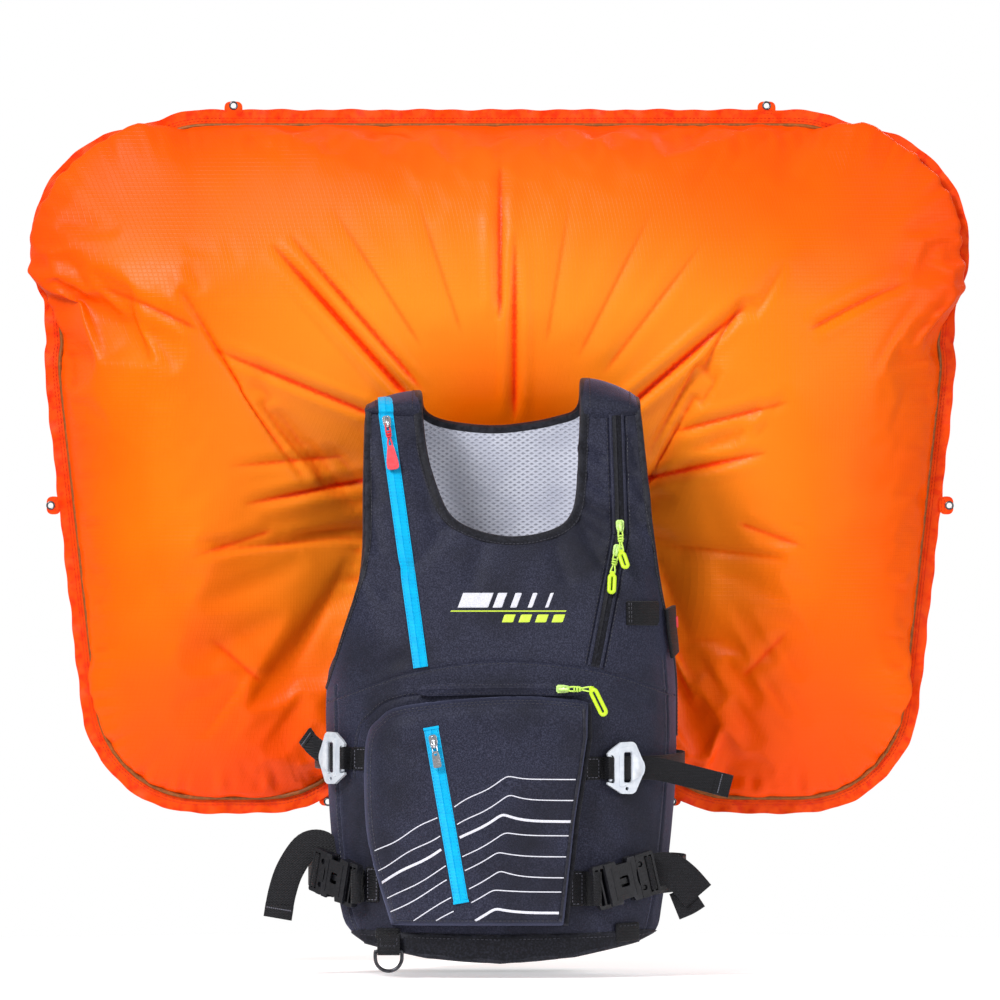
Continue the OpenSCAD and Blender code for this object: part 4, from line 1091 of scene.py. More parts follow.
def puller_shape(kind, length, tab_l, tab_w, bend, tip):
    """A loop of cord and its moulded tab, hanging from the pin; or a metal link and tab."""
    b = Build()
    base = shift(0, PULL_Y, PULL_Z) @ turn("X", tip)
    tab = base @ shift(0, 0, -length) @ turn("Y", bend) @ shift(0, 0, -tab_l / 2 + 1)
    if kind == "metal":
        ring = np.vstack([arc(0, -2.2, 2.6, 180, 0, 10), arc(0, -length + 0.5, 2.6, 0, -180, 10)])
        b.add(cord(at_depth(ring + [0, 1.2], 0), 0.75, True), 0, base)
        outline = np.array([(-3.0, 9), (3.0, 9), (4.0, 5), (4.5, -7.4), (3.4, -9), (-3.4, -9), (-4.5, -7.4),
                            (-4.0, 5)])
        b.add(plate([outline, arc(0, 5.6, 1.7, 0, 342, 18)], -0.9, 0.9), 0, tab)
        b.add(plate([round_rect(5.4, 7.5, 1.2) + [0, -3.2]], -1.4, 1.4), 0, tab)
        return b
    z = np.linspace(1.6, -length + 1, 34)
    spread = 0.9 + 1.5 * np.abs(np.sin((z - 1.6) / max(length, 1) * math.pi * 1.5))
    for s in (-1, 1):
        strand = np.c_[s * spread, 0.6 * s * np.cos(z / 5), z]
        b.add(cord(strand, 0.95), 0, base)
    b.add(cord(np.array([(-1.0, 0, 1.6), (-0.6, 0, 2.6), (0.6, 0, 2.6), (1.0, 0, 1.6)]), 0.95), 0, base)
    for k, (h, r) in enumerate(((0.36, 2.3), (0.44, 2.6), (0.52, 2.2))):
        knot = arc(0, 0, r, 0, 340, 17)
        tilt = base @ shift(0, 0, -length * h) @ turn("X", 70 + 25 * k) @ turn("Y", 30 * k)
        b.add(cord(at_depth(knot, 0), 0.95, True), 0, tilt)
    if kind == "loop":
        x, z2 = tab_w / 2 - 2.2, tab_l / 2 - 2.2
        oval = np.vstack([arc(0, z2 - x, x, 0, 180, 10), arc(0, x - z2, x, 180, 360, 10)])
        b.add(cord(at_depth(oval, 0), 2.1, True, 12), 1, tab)
        b.add(plate([round_rect(5, 6, 1.6) + [0, z2 + 1.0]], -1.9, 1.9), 1, tab)
    else:
        w, h = tab_w / 2, tab_l / 2
        half = [(w * 0.45, h), (w * 0.72, h * 0.4), (w, -h * 0.62), (w * 0.7, -h)]
        outline = smooth([(-w * 0.45, h)] + half + [(-x, z) for x, z in half[::-1]], 4)[:-1]
        b.add(plate([outline], -1.2, 1.2), 1, tab)
        b.add(plate([round_rect(tab_w * 0.5, 3.2, 1.2) + [0, h * 0.25]], -1.6, 1.6), 1, tab)
        b.add(plate([outline * 0.72 + [0, -1.2]], -1.5, 1.5), 1, tab)
    return b


def moved(build, place):
    out = Build()
    out.faces, out.mats, out.count = build.faces, build.mats, build.count
    m = np.array(place)
    out.verts = [v @ m[:3, :3].T + m[:3, 3] for v in build.verts]
    return out


def along(place, up):
    return place @ shift(0, 0, up)


LIME_PULLER = (LIME_METAL, LIME_CORD, LIME)
# Place of each slider, kind of puller, its sizes and turns, and the materials of slider, cord and tab
ZIP_PLACES = {
    "shoulder_zip": (along(on_chest(-86, 320, -SHOULDER_ZIP_TURN), 280), "tab", (26, 26, 13, 0, 0),
                     (CHROME, RED_CORD, RED_PLASTIC)),
    "chest_zip_upper": (along(on_chest(131, 466, -1.8), 8), "loop", (30, 22, 10, -14, -14), LIME_PULLER),
    "chest_zip_lower": (along(on_chest(131, 466, 10.6), -20), "loop", (24, 24, 10, -8, 0), LIME_PULLER),
    "pouch_zip": (shift(68, FRONT_Y - 2.1, 298) @ turn("Y", -90), "loop", (30, 34, 11, 62, -22), LIME_PULLER),
    "pocket_zip": (along(POCKET_PLACE, 178), "metal", (8, 18, 9, 0, 0), (CHROME, CHROME, CHROME)),
    "rear_zip": (shift(-78, PACK_Y1, 310) @ turn("Z", 180), "loop", (18, 24, 10, 0, 0), (CHROME, LIME_CORD, LIME)),
}


def add_sliders():
    for name, (place, kind, sizes, (metal, rope, tab)) in ZIP_PLACES.items():
        zip_name, _, end = name.partition("_zip")
        slider, puller = f"{zip_name}_zip_slider{end}", f"{zip_name}_zip_puller{end}"
        make(slider + "_body", moved(slider_shape(), place), [metal], slider, [slider], bevel=0.25)
        make(puller + "_cord", moved(puller_shape(kind, *sizes), place), [rope, tab], puller, [puller], bevel=0.3)


# ---------- webbing and buckles ----------

HOOKS = {"left": shift(136, -170, 212) @ turn("Z", 27),
         "right": MIRROR @ shift(181, -128, 222) @ turn("Z", 52)}
BUCKLES = {"left": shift(136, -174, 90) @ turn("Z", 27) @ turn("Y", -14),
           "right": MIRROR @ shift(179, -138, 92) @ turn("Z", 50) @ turn("Y", -14)}
HOOK_BAR = (-19, -2, 0)


def put(place, points):
    m = np.array(place)
    p = np.atleast_2d(np.array(points, float))
    return p @ m[:3, :3].T + m[:3, 3]


def hook_shape():
    """A flat alloy hook: two claws on the inner side, a wide slot for webbing and a thin one outside it."""
    outline = np.vstack([[(-22.5, 12.5), (-23.5, 15.5), (-20, 19)], [(-7, 27.8)], arc(5, 20, 8.5, 80, 40, 3),
                         arc(8, 0, 14.5, 38, -38, 8), arc(5, -20, 8.5, -40, -100, 4),
                         [(-6, -28.2), (-23.6, -17.6), (-22.8, -15.4), (-15.5, -16.8), (-14.6, -14.2), (-15.2, -9),
                          (-15.2, 9.5), (-15.6, 12.4), (-18.2, 14.0), (-20.4, 12.2)]])
    slot = round_rect(9.5, 33, 1.8) + [1.5, 0.5]
    hole = arc(0.5, -22.6, 2.0, 0, 330, 11)
    b = Build().add(plate([outline[::-1], slot, hole], -4, -0.4))
    ridge = np.vstack([[(-9, 21.8)], arc(5, 16.5, 7.5, 75, 40, 3), arc(4.5, 0, 14.6, 38, -38, 8),
                       [(-6, -20.6), (-9, -19.6), (-9, 0)]])
    b.add(plate([ridge[::-1], round_rect(11.5, 35, 2.4) + [1.5, 0.5]], -4.7, -3.5))
    return b.add(cord([(*HOOK_BAR[:2], z) for z in (-14.5, 0, 13)], 1.9))


def socket_shape():
    """Female half of a side-release buckle, with its ladder."""
    b = Build()
    h = BUCKLE_H / 2
    side = [(-24, h - 1), (-11, h), (-9.5, h - 4.6), (3.5, h - 4.6), (5, h), (MOUTH_X - 1, h), (MOUTH_X, h - 2)]
    outline = np.vstack([side, arc(MOUTH_X + 24, 0, 26, 157, 203, 8), [(x, -z) for x, z in side[::-1]]])
    window = round_rect(11, 12, 2) + [-3.5, 0]
    b.add(plate([outline[::-1], window], -6, -3.5)).add(plate([outline[::-1]], 3.5, 6))
    for s in (-1, 1):
        b.add(plate([round_rect(13.5, 4.4, 1) + [-17.2, s * (h - 2.6)]], -4, 4))
        b.add(plate([round_rect(8.5, 4.4, 1) + [MOUTH_X - 4.6, s * (h - 2.6)]], -4, 4))
    b.add(plate([round_rect(7, 2 * h - 3, 1.4) + [-20.5, 0]], -4, 4))
    for x in (-16, 8.5):
        b.add(plate([round_rect(1.4, 2 * h - 12, 0.6) + [x, 0]], -6.5, -5.8))
    ladder = round_rect(16, 2 * h, 2.4) + [-30.4, 0]
    b.add(plate([ladder, round_rect(4.4, 40, 1.2) + [-27.2, 0], round_rect(4.4, 40, 1.2) + [-33.7, 0]], -4, 4))
    return b


def plug_shape():
    """Male half: a guide tongue, the root that carries the prongs and a ladder for the strap."""
    h = BUCKLE_H / 2
    holes = [arc(MOUTH_X + 5, s * 13, 3.1, 0, 345, 23) for s in (-1, 1)]
    root = round_rect(10, 2 * h, 2) + [MOUTH_X + 5.6, 0]
    b = Build().add(plate([root, *holes], -5.5, 5.5))
    ladder = round_rect(14.5, 2 * h, 2.6) + [MOUTH_X + 16.8, 0]
    bars = [round_rect(3.2, 40, 1) + [MOUTH_X + x, 0] for x in (14, 19.6)]
    b.add(plate([ladder, *bars], -4, 4))
    tongue = round_rect(27, 6.6, 2.2) + [MOUTH_X - 12.4, 0]
    return b.add(plate([tongue], -2.7, 2.7))


def prong_shape(side):
    p = [(2.2, -1.9), (2.8, 0), (2.2, 1.9), (-7, 1.7), (-15, 1.8), (-16.8, 4.5), (-21, 4.4), (-28.6, 0.8),
         (-28.6, -1.7), (-8, -1.8)]
    outline = np.array(p, float) * [1, side]
    b = Build().add(plate([outline if side < 0 else outline[::-1]], -2.7, 2.7))
    for x in (-18.2, -19.8, -21.4):
        b.add(plate([round_rect(0.7, 1.2, 0.3) + [x, side * 4.5]], -2.4, 2.4))
    return b


def strap(b, path, width, up, t=1.8):
    b.add(sweep(path, up, band(width, t, -t / 2)))


def round_the_side(points, z0, z1):
    """A strap's path seen from above, its height easing from z0 to z1, and its outward directions."""
    p = resample(smooth(points), 4.0)
    share = np.linspace(0, 1, len(p))
    path = np.c_[p, z0 + (z1 - z0) * share * share * (3 - 2 * share)]
    t = tangents(path)
    out = unit(np.cross(t, np.tile([0.0, 0.0, 1.0], (len(path), 1))))
    out *= np.sign((out @ [np.sign(p[:, 0].mean()), -0.3, 0]).mean())
    return path, out


def corners(x0, x1, z0, z1):
    return [(x0, z0), (x1, z0), (x1, z1), (x0, z1)]


def webbing_patch(b, x0, x1, z0, z1):
    """A sewn-down end of webbing with a stitched box."""
    b.add(vest_sheet(corners(x0, x1, z0, z1), 0.2, 2.2, 4, (0.5,)))
    inset = 2.4
    ring = corners(x0 + inset, x1 - inset, z0 + inset, z1 - inset)
    for a, c in zip(ring, ring[1:] + ring[:1]):
        b.add(stitches(*vest_line([a, c], 2.2), 4.0, 2.8, 0.4), 1)


def webbing_to_bar(b, x0, x1, z, width, centre, r):
    """Webbing that leaves the vest, passes round a bar and comes back."""
    start, _ = vest_line([(x0, z), (x1, z)], 1.6, 3)
    low, _ = vest_line([(x0, z), (x1, z)], 0.6, 3)
    c = np.array(centre, float)
    away = unit((c - start[-1]) * [1, 1, 0])
    out = np.array([-away[1], away[0], 0])
    out *= -np.sign(out[1]) or 1
    ring = [c + out * r * math.cos(a) + away * r * math.sin(a) for a in np.linspace(0, math.pi, 11)]
    tilt = np.array([0, 0, c[2] - z])
    path = np.vstack([start, [start[-1] * 0.5 + (c + out * r - tilt) * 0.5], ring,
                      [low[-1] * 0.5 + (c - out * r) * 0.5], low[::-1]])
    path[:, 2] = z + (c[2] - z) * np.clip(np.abs(path[:, 0] - x0) / abs(c[0] - x0), 0, 1)
    normals = np.vstack([np.tile(out, (len(start) + 1, 1)),
                         [out * math.cos(a) + away * math.sin(a) for a in np.linspace(0, math.pi, 11)],
                         np.tile(-out, (len(low) + 1, 1))])
    b.add(sweep(path, normals, band(width, 1.5, -0.75)))


def add_hook_buckles():
    for side, place in HOOKS.items():
        node = f"hook_buckle_{side}"
        make(node + "_plate", moved(hook_shape(), place), [SILVER], node, [node], bevel=0.7)
    b = Build()
    for x0, x1, z, side in ((92, 109, 211.5, "left"), (-143, -159, 221.5, "right")):
        webbing_patch(b, min(x0, x1), max(x0, x1), z - 12.5, z + 12.5)
        webbing_to_bar(b, x1, x1 + (3 if side == "left" else -3), z, 24, put(HOOKS[side], HOOK_BAR)[0], 3.0)
    make("hook_webbing_loops", b, [WEBBING, GREY_THREAD], stands_for=["hook_webbing"])


def add_side_buckles():
    b = Build()
    for side, place in BUCKLES.items():
        b.join(moved(socket_shape(), place))
        make(f"buckle_plug_{side}_body", moved(plug_shape(), place), [PLASTIC], f"buckle_plug_{side}",
             [f"buckle_plug_{side}"], bevel=0.7)
        for level, sign in (("upper", 1), ("lower", -1)):
            node = f"prong_{level}_{side}"
            root = place @ shift(MOUTH_X + 5, 0, sign * 13)
            make(node + "_arm", moved(prong_shape(sign), root), [PLASTIC], node, [node], bevel=0.5)
    make("buckle_sockets_body", b, [PLASTIC], stands_for=["buckle_sockets"], bevel=0.8)
    b = Build()
    for x0, x1, z, side in ((76, 91, 81, "left"), (-131, -145, 85, "right")):
        webbing_patch(b, min(x0, x1), max(x0, x1), z - 19, z + 19)
        webbing_to_bar(b, x1, x1 + (3 if side == "left" else -3), z, 37, put(BUCKLES[side], (-36.6, 0, 0))[0], 5.2)
    make("buckle_webbing_loops", b, [WEBBING, GREY_THREAD], stands_for=["buckle_webbing"])


def strap_end(b, path, up, width):
    """The folded and sewn end of a strap."""
    end = path[-5:]
    n = np.tile(unit(np.array(up, float)), (5, 1))
    side = np.cross(tangents(path)[-5:], n)
    b.add(sweep(end, n, band(width, 4.2, -2.1)))
    bar = np.stack([end[1] + side[1] * s + n[1] * 2.1 for s in np.linspace(-width / 2 + 1.5, width / 2 - 1.5, 8)])
    b.add(stitches(bar, n[1], 2.4, 2.2, 0.55), 1)


def add_straps():
    upper = {"left": [(160, -156), (170, -144), (184, -119), (199, -80), (201, -40), (188, 1)],
             "right": [(-192, -112), (-200, -85), (-202, -60), (-200, -30), (-188, 1)]}
    height = {"left": (212, 216.5), "right": (222, 222.5)}
    for side, place in HOOKS.items():
        start = put(place, (8, -0.2, 0))[0]
        slot_end = put(place, (15, 2.4, 0))[0]
        pts = [tuple(start[:2]), tuple(slot_end[:2])] + upper[side][1 if side == "left" else 0:]
        path, out = round_the_side(pts, *height[side])
        b = Build()
        strap(b, path, 25, out)
        piece = make(f"upper_strap_{side}", b, [WEBBING], None, ["upper_straps"])
        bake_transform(piece)
        wrap = put(place, [(8, 0.8, 0), (6, -1.0, 0), (1.5, -2.4, 0), (-3, -1.0, 0), (-6, 0.9, 0), (0, 1.8, 0),
                           (12, 2.0, 0)])
        b = Build()
        w_path = smooth(wrap, 4)
        strap(b, w_path, 25, np.cross(tangents(w_path), np.array(place)[:3, 2]), 1.4)
        if side == "left":
            tail = smooth([put(place, (10, -0.6, -1))[0], (168, -155, 211), (196, -151, 205), (224, -149, 198),
                           (251, -147, 191)], 6)
        else:
            tail = smooth([put(place, (10, 1.0, 3))[0], (-196, -110, 229), (-206, -104, 237), (-213, -99, 246)], 6)
        up = np.array([0.0, -1.0, 0.0]) if side == "left" else unit(np.array([-0.75, -0.6, 0.0]))
        strap(b, tail, 25, up, 1.7)
        strap_end(b, tail, up, 25.4)
        make(f"upper_strap_tail_{side}", b, [WEBBING, GREY_THREAD], f"hook_buckle_{side}")
    lower = {"left": [(176, -124), (197, -92), (203, -50), (201, -25), (188, 1)],
             "right": [(-203, -92), (-209, -72), (-207, -45), (-201, -22), (-188, 1)]}
    level = {"left": (92, 97), "right": (99, 101)}
    for side, place in BUCKLES.items():
        a, c = put(place, (MOUTH_X + 14, 0, 0))[0], put(place, (MOUTH_X + 22, 3.5, 0))[0]
        path, out = round_the_side([tuple(a[:2]), tuple(c[:2])] + lower[side], *level[side])
        b = Build()
        strap(b, path, 37, out)
        piece = make(f"lower_strap_{side}", b, [WEBBING], None, ["lower_straps"])
        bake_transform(piece)
        b = Build()
        loop = ((14, 4.6), (14, -3), (17, -4.8), (20, -3), (20.5, 4.8))
        wrap = smooth(put(place, [(MOUTH_X + x, y, 0) for x, y in loop]), 4)
        strap(b, wrap, 37, np.cross(tangents(wrap), np.array(place)[:3, 2]), 1.5)
        if side == "left":
            tail = smooth([(168, -150, 100), (184, -147, 101), (200, -146, 90), (216, -145, 72)], 7)
            fold = smooth([(215, -143.2, 73), (204, -142, 66), (190, -141, 60)], 6)
            strap(b, tail, 37, (0, -1, 0.1))
            strap(b, fold, 30, (0, -1, 0.1))
        else:
            tail = smooth([(-186, -112, 112), (-194, -106, 126), (-212, -100, 124), (-229, -97, 100), (-238, -96, 74),
                           (-243, -96, 46)], 7)
            strap(b, tail, 32, (-0.25, -1, 0.1))
            strap_end(b, tail, (-0.25, -1, 0.1), 32.4)
        make(f"lower_strap_tail_{side}", b, [WEBBING, GREY_THREAD], f"buckle_plug_{side}")


def add_chest_webbing():
    """The elastic band on the chest and the sleeve at the side with its red tag."""
    b = Build().add(vest_sheet([(137, 367), (172, 366), (172, 393), (137, 393)], 0.3, 2.3, 4, (0.5,)))
    path, up = vest_line([(181, 386), (183, 360), (186, 334)], 3.2, 4)
    b.add(sweep(path, up, band(24, 4.0)))
    for x in (139.5, 142):
        b.add(stitches(*vest_line([(x, 369), (x, 391)], 2.3)), 1)
    side = np.cross(tangents(path), up)
    tag = path[3:7] + side[3:7] * np.sign(side[3, 0]) * 11 + up[3:7] * 2.4
    b.add(sweep(tag, up[3:7], band(5, 2.4)), 2)
    make("chest_webbing_band", b, [WEBBING, DARK_THREAD, RED_PLASTIC], stands_for=["chest_webbing"])


# ---------- pack ----------

def pack_outline(inset=0.0):
    w, r = PACK_HALF_W - inset, 40 - inset
    return np.vstack([arc(0, PACK_ARCH_Z, w, 0, 180, 40), arc(r - w, 25 + inset + r, r, 180, 270, 8),
                      arc(w - r, 25 + inset + r, r, 270, 360, 8)])


def shell(outline_at, y0, y1, step, r):
    """A closed fabric body between two depths; outline_at gives the outline for an inset."""
    profile = [(r * (1 - math.sin(t)), y0 + r * (1 - math.cos(t))) for t in np.radians([0, 25, 50, 75, 90])]
    middle = [(0.0, y) for y in np.linspace(y0 + r, y1 - r, max(int((y1 - y0 - 2 * r) / step), 2) + 1)[1:-1]]
    rows = profile + middle + [(inset, y0 + y1 - y) for inset, y in profile[::-1]]
    cap_poly = resample(outline_at(rows[0][0]), step * 0.7, True)
    count = len(cap_poly)
    cap, tris = fill(cap_poly, step)
    b = Build()
    b.add((at_depth(cap, y0), tris)).add((at_depth(cap, y1), [tuple(q[::-1]) for q in tris]))
    rings = []
    for inset, y in rows:
        ring = resample(outline_at(inset), step * 0.7, True)
        share = np.linspace(0, len(ring), count, endpoint=False)
        ring = np.stack([np.interp(share, np.arange(len(ring) + 1), np.r_[ring[:, k], ring[:1, k]])
                         for k in range(2)], axis=1)
        rings.append(at_depth(ring, y))
    rings[0][:, [0, 2]] = cap_poly
    rings[-1][:, [0, 2]] = cap_poly
    return b.add((np.vstack(rings), tube_faces(len(rings), count, False, False)))


def billow(verts, faces, pinned, pressure, frames):
    """Blows a closed cloth body up and returns its settled points, in millimetres."""
    mesh = bpy.data.meshes.new("billow")
    mesh.from_pydata([tuple(v) for v in verts * MM], [], faces)
    body = bpy.data.objects.new("billow", mesh)
    scene = bpy.context.scene
    scene.collection.objects.link(body)
    bm = bmesh.new()
    bm.from_mesh(mesh)
    bmesh.ops.recalc_face_normals(bm, faces=bm.faces)
    bm.to_mesh(mesh)
    bm.free()
    held = body.vertex_groups.new(name="held")
    held.add([int(i) for i in pinned], 1.0, "REPLACE")
    cloth = body.modifiers.new("cloth", "CLOTH")
    s = cloth.settings
    s.vertex_group_mass = "held"
    s.quality, s.mass, s.air_damping = 6, 0.2, 2.0
    s.tension_stiffness = s.compression_stiffness = CLOTH_STIFFNESS
    s.shear_stiffness, s.bending_stiffness = CLOTH_STIFFNESS / 3, 0.15
    s.tension_damping = s.compression_damping = s.shear_damping = 10
    s.use_pressure = True
    s.uniform_pressure_force = pressure
    s.effector_weights.gravity = 0
    cloth.collision_settings.use_collision = False
    cloth.point_cache.frame_start, cloth.point_cache.frame_end = 1, frames
    scene.frame_start, scene.frame_end = 1, frames
    for frame_number in range(1, frames + 1):
        scene.frame_set(frame_number)
    result = body.evaluated_get(bpy.context.evaluated_depsgraph_get()).data
    settled = np.zeros(len(verts) * 3)
    result.vertices.foreach_get("co", settled)
    bpy.data.objects.remove(body)
    bpy.data.meshes.remove(mesh)
    scene.frame_set(1)
    return settled.reshape(-1, 3) / MM


def joined(build):
    """One set of points and faces, with points that coincide made one."""
    verts = np.vstack(build.verts)
    _, first, which = np.unique(np.round(verts, 2), axis=0, return_index=True, return_inverse=True)
    which = np.ravel(which)
    faces = []
    for q in build.faces:
        corner = [int(which[i]) for i in q]
        if len(set(corner)) == len(corner):
            faces.append(tuple(corner))
    return verts[first], faces


def add_pack():
    verts, faces = joined(shell(pack_outline, PACK_Y0, PACK_Y1, 11, 9))
    rim = line_distance(pack_outline(), verts[:, [0, 2]], True)[0] < 1.5
    edge = rim & ((verts[:, 1] < PACK_Y0 + 12) | (verts[:, 1] > PACK_Y1 - 12))
    settled = billow(verts, faces, np.nonzero(edge | (verts[:, 1] < PACK_Y0 + 1))[0], 4, 20)
    move = settled - verts
    size = np.linalg.norm(move, axis=1, keepdims=True)
    verts = verts + move * np.minimum(1, 5 / (size + 1e-9))
    verts[:, 1] = np.minimum(verts[:, 1], PACK_Y1 + 0.5)
    # the hole round the ejector: faces inside it go, and the points round it move to its rim
    reach = np.hypot(verts[:, 0], verts[:, 1] - EJECTOR_Y)
    near = (reach < 33) & (verts[:, 2] > EJECTOR_HOLE_Z)
    faces = [q for q in faces if not (verts[list(q), 2].min() > EJECTOR_HOLE_Z and reach[list(q)].mean() < 25)]
    used = np.zeros(len(verts), bool)
    used[[i for q in faces for i in q]] = True
    near &= used
    verts[near, :2] = [0, EJECTOR_Y] + (verts[near, :2] - [0, EJECTOR_Y]) * (27.5 / reach[near])[:, None]
    order = np.cumsum(used) - 1
    faces = [tuple(int(order[i]) for i in q) for q in faces]
    b = Build().add((verts[used], faces))
    make("pack_shell_cloth", b, [PACK], stands_for=["pack_shell"], subdivide=1, sharp=70)
    b = Build()
    circle = arc(0, 0, 29, 0, 354, 59)
    top = PACK_ARCH_Z + np.sqrt(PACK_HALF_W ** 2 - circle[:, 0] ** 2) + 0.2
    path = np.c_[circle[:, 0], circle[:, 1] + EJECTOR_Y, top]
    normal = unit(np.c_[circle[:, 0], np.zeros(60), np.full(60, 118.0)])
    b.add(sweep(path, normal, band(9, 2.6), True))
    b.add(stitches(path[list(range(60)) + [0]] + [0, 0, 2.4], (0, 0, 1), 4, 2.8), 1)
    make("ejector_collar", b, [BINDING, GREY_THREAD])
    b = Build()
    ring = resample(pack_outline(-0.5), 5, True)
    out = unit(at_depth(ring - [0, 240], 0))
    for y in (PACK_Y0 + 8, PACK_Y1 - 8):
        b.add(cord(at_depth(ring, y), 1.6, True))
    for y in (PACK_Y0 + 13, PACK_Y1 - 13):
        b.add(stitches(at_depth(ring, y), out, lift=0.8), 1)
    make("pack_piping", b, [BINDING, GREY_THREAD])

    b = Build()
    line = np.vstack([[(-78, 70)], arc(0, 330, 78, 180, 0, 30), [(78, 70)]])
    path = at_depth(resample(line, 3), PACK_Y1 + 0.6)
    zip_tape(b, path, np.tile([0.0, 1.0, 0.0], (len(path), 1)))
    make("rear_zip_tape", b, [BLACK_ZIP, GREY_THREAD], stands_for=["rear_zip"])

    b = Build()
    arch = np.vstack([[(-34, 466)], arc(-17, 496, 17, 180, 90, 8), arc(17, 496, 17, 90, 0, 8), [(34, 466)]])
    arch = resample(arch, 3)
    path = at_depth(arch, PACK_Y0 + 4.5)
    out = unit(at_depth(arch - [0, 480], 0))
    b.add(sweep(path, out, round_rect(5, 5.4, 1.8)))
    for s in (-1.3, 1.3):
        b.add(stitches(path + [0, s, 0] + out * 2.7, out, 3.6, 2.5, 0.35), 1)
    make("haul_loop_webbing", b, [WEBBING, GREY_THREAD], stands_for=["haul_loop"])

    b = Build()
    z = np.linspace(150, 340, 40)
    for s in (-1, 1):
        wave = 0.25 * np.sin(z / 9)
        side = np.c_[np.full(40, s * (PACK_HALF_W + 0.5)) + s * np.abs(wave), np.full(40, 124.3), z]
        b.add(sweep(side, (s, 0, 0), band(16, 1.5)))
        lip = np.c_[np.full(40, s * (PACK_HALF_W + 3.6)), np.full(40, 131.2), z]
        b.add(sweep(lip, (0, 1, 0), band(7, 1.5)))
        for y in (119, 129):
            row = np.c_[np.full(40, s * (PACK_HALF_W + 2.1)), np.full(40, float(y)), z]
            b.add(stitches(row, (s, 0, 0), lift=0.2), 1)
    make("burst_flap_strips", b, [PACK, RED_THREAD], stands_for=["burst_flaps"])


# ---------- airbag ----------

BAG_HALF_SEAM = np.vstack([arc(325, 802, 118, 90, 66, 4), arc(387, 785, 118, 66, -28, 12),
                           arc(373, 652, 116.5, 12, -5, 3), arc(333, 288, 116.5, -6, -90, 9),
                           arc(260, 288, 116.5, -90, -180, 9), arc(103.5, 450, 40, 0, 90, 6)])
BAG_SEAM = np.vstack([BAG_HALF_SEAM, (BAG_HALF_SEAM * [-1, 1])[::-1]])
BAG_DEPTH = 117        # how far the bag stands out on each side of its seam
# Creases of the front: start, end, width and depth
BAG_CREASES = [
    ((-252, 786), (-92, 606), 4.6, 8.0), ((-232, 796), (-84, 622), 3.6, 4.0), ((-322, 672), (-128, 592), 4.4, 5.0),
    ((-284, 498), (-128, 530), 5.0, 6.0), ((-300, 540), (-170, 552), 4.5, 2.5), ((0, 880), (0, 700), 5.0, 5.0),
    ((16, 800), (16, 590), 4.4, 5.5), ((272, 718), (132, 598), 5.0, 8.5), ((322, 612), (190, 578), 4.5, 3.5),
    ((296, 556), (140, 522), 4.6, 6.0), ((-186, 828), (-84, 668), 7.0, 1.8), ((-96, 850), (-40, 680), 7.0, 1.4),
    ((78, 840), (50, 670), 7.0, 1.5), ((168, 824), (84, 656), 7.0, 1.9), ((226, 790), (112, 640), 5.0, 1.8),
    ((-340, 440), (-250, 470), 5.0, 2.5), ((340, 450), (262, 478), 5.0, 2.5), ((-320, 350), (-262, 300), 6.0, 2.5),
    ((320, 360), (268, 306), 6.0, 2.5), ((-440, 742), (-330, 690), 5.0, 2.8), ((446, 748), (340, 690), 5.0, 2.8)]
BAG_GAP_X = 150        # the seam round the pack lies between this and its mirror image


def seam_out(line):
    """Directions that point out of the bag along its seam."""
    t = tangents(line, True)
    out = np.c_[t[:, 1], -t[:, 0]]
    return np.where(inside(line, line + out * 2)[:, None], -out, out)


def bag_points():
    """Two flat sheets cut larger than the seam's outline, sewn together and inflated."""
    seam = resample(BAG_SEAM, 8.8, True)
    out = seam_out(seam)
    near_pack = (np.abs(seam[:, 0]) < BAG_GAP_X) & (seam[:, 1] > 200) & (seam[:, 1] < 495)
    slack = np.where(near_pack, 14.0, 58.0)
    for _ in range(12):
        slack = (np.roll(slack, 1) + slack + np.roll(slack, -1)) / 3
    flat, tris = fill(seam + out * slack[:, None], 11)
    count, n = len(seam), len(flat)
    edges = np.sort(np.vstack([tris[:, [0, 1]], tris[:, [1, 2]], tris[:, [2, 0]]]), axis=1)
    single, times = np.unique(edges, axis=0, return_counts=True)
    rim = np.zeros(n, bool)
    rim[single[times == 1].ravel()] = True
    front = at_depth(flat, np.where(rim, 0.0, -1.0))
    twin = np.arange(n)
    twin[~rim] = n + np.arange((~rim).sum())
    back = front[~rim] * [1, -1, 1]
    verts = np.vstack([front, back])
    faces = [tuple(int(i) for i in q) for q in tris] + [tuple(int(twin[i]) for i in q[::-1]) for q in tris]
    held = np.nonzero((np.abs(seam[:, 0]) < BAG_GAP_X) & (seam[:, 1] > 185) & (seam[:, 1] < 445))[0]
    settled = billow(verts, faces, held, 10, 34)
    # bring the seam back to its line, and spread that movement smoothly over the bag
    pull = np.zeros_like(settled)
    pull[:count] = at_depth(seam, 0) - settled[:count]
    links = np.array(faces)
    links = np.vstack([links[:, [0, 1]], links[:, [1, 2]], links[:, [2, 0]]])
    degree = np.bincount(links.ravel(), minlength=len(verts))
    for _ in range(1500):
        spread = np.stack([np.bincount(links[:, 0], pull[links[:, 1], k], len(verts))
                           + np.bincount(links[:, 1], pull[links[:, 0], k], len(verts)) for k in range(3)], axis=1)
        spread /= degree[:, None]
        spread[:count] = pull[:count]
        pull = spread
    settled = settled + pull
    settled[:, 1] *= BAG_DEPTH / np.abs(settled[:, 1]).max()
    return settled, faces


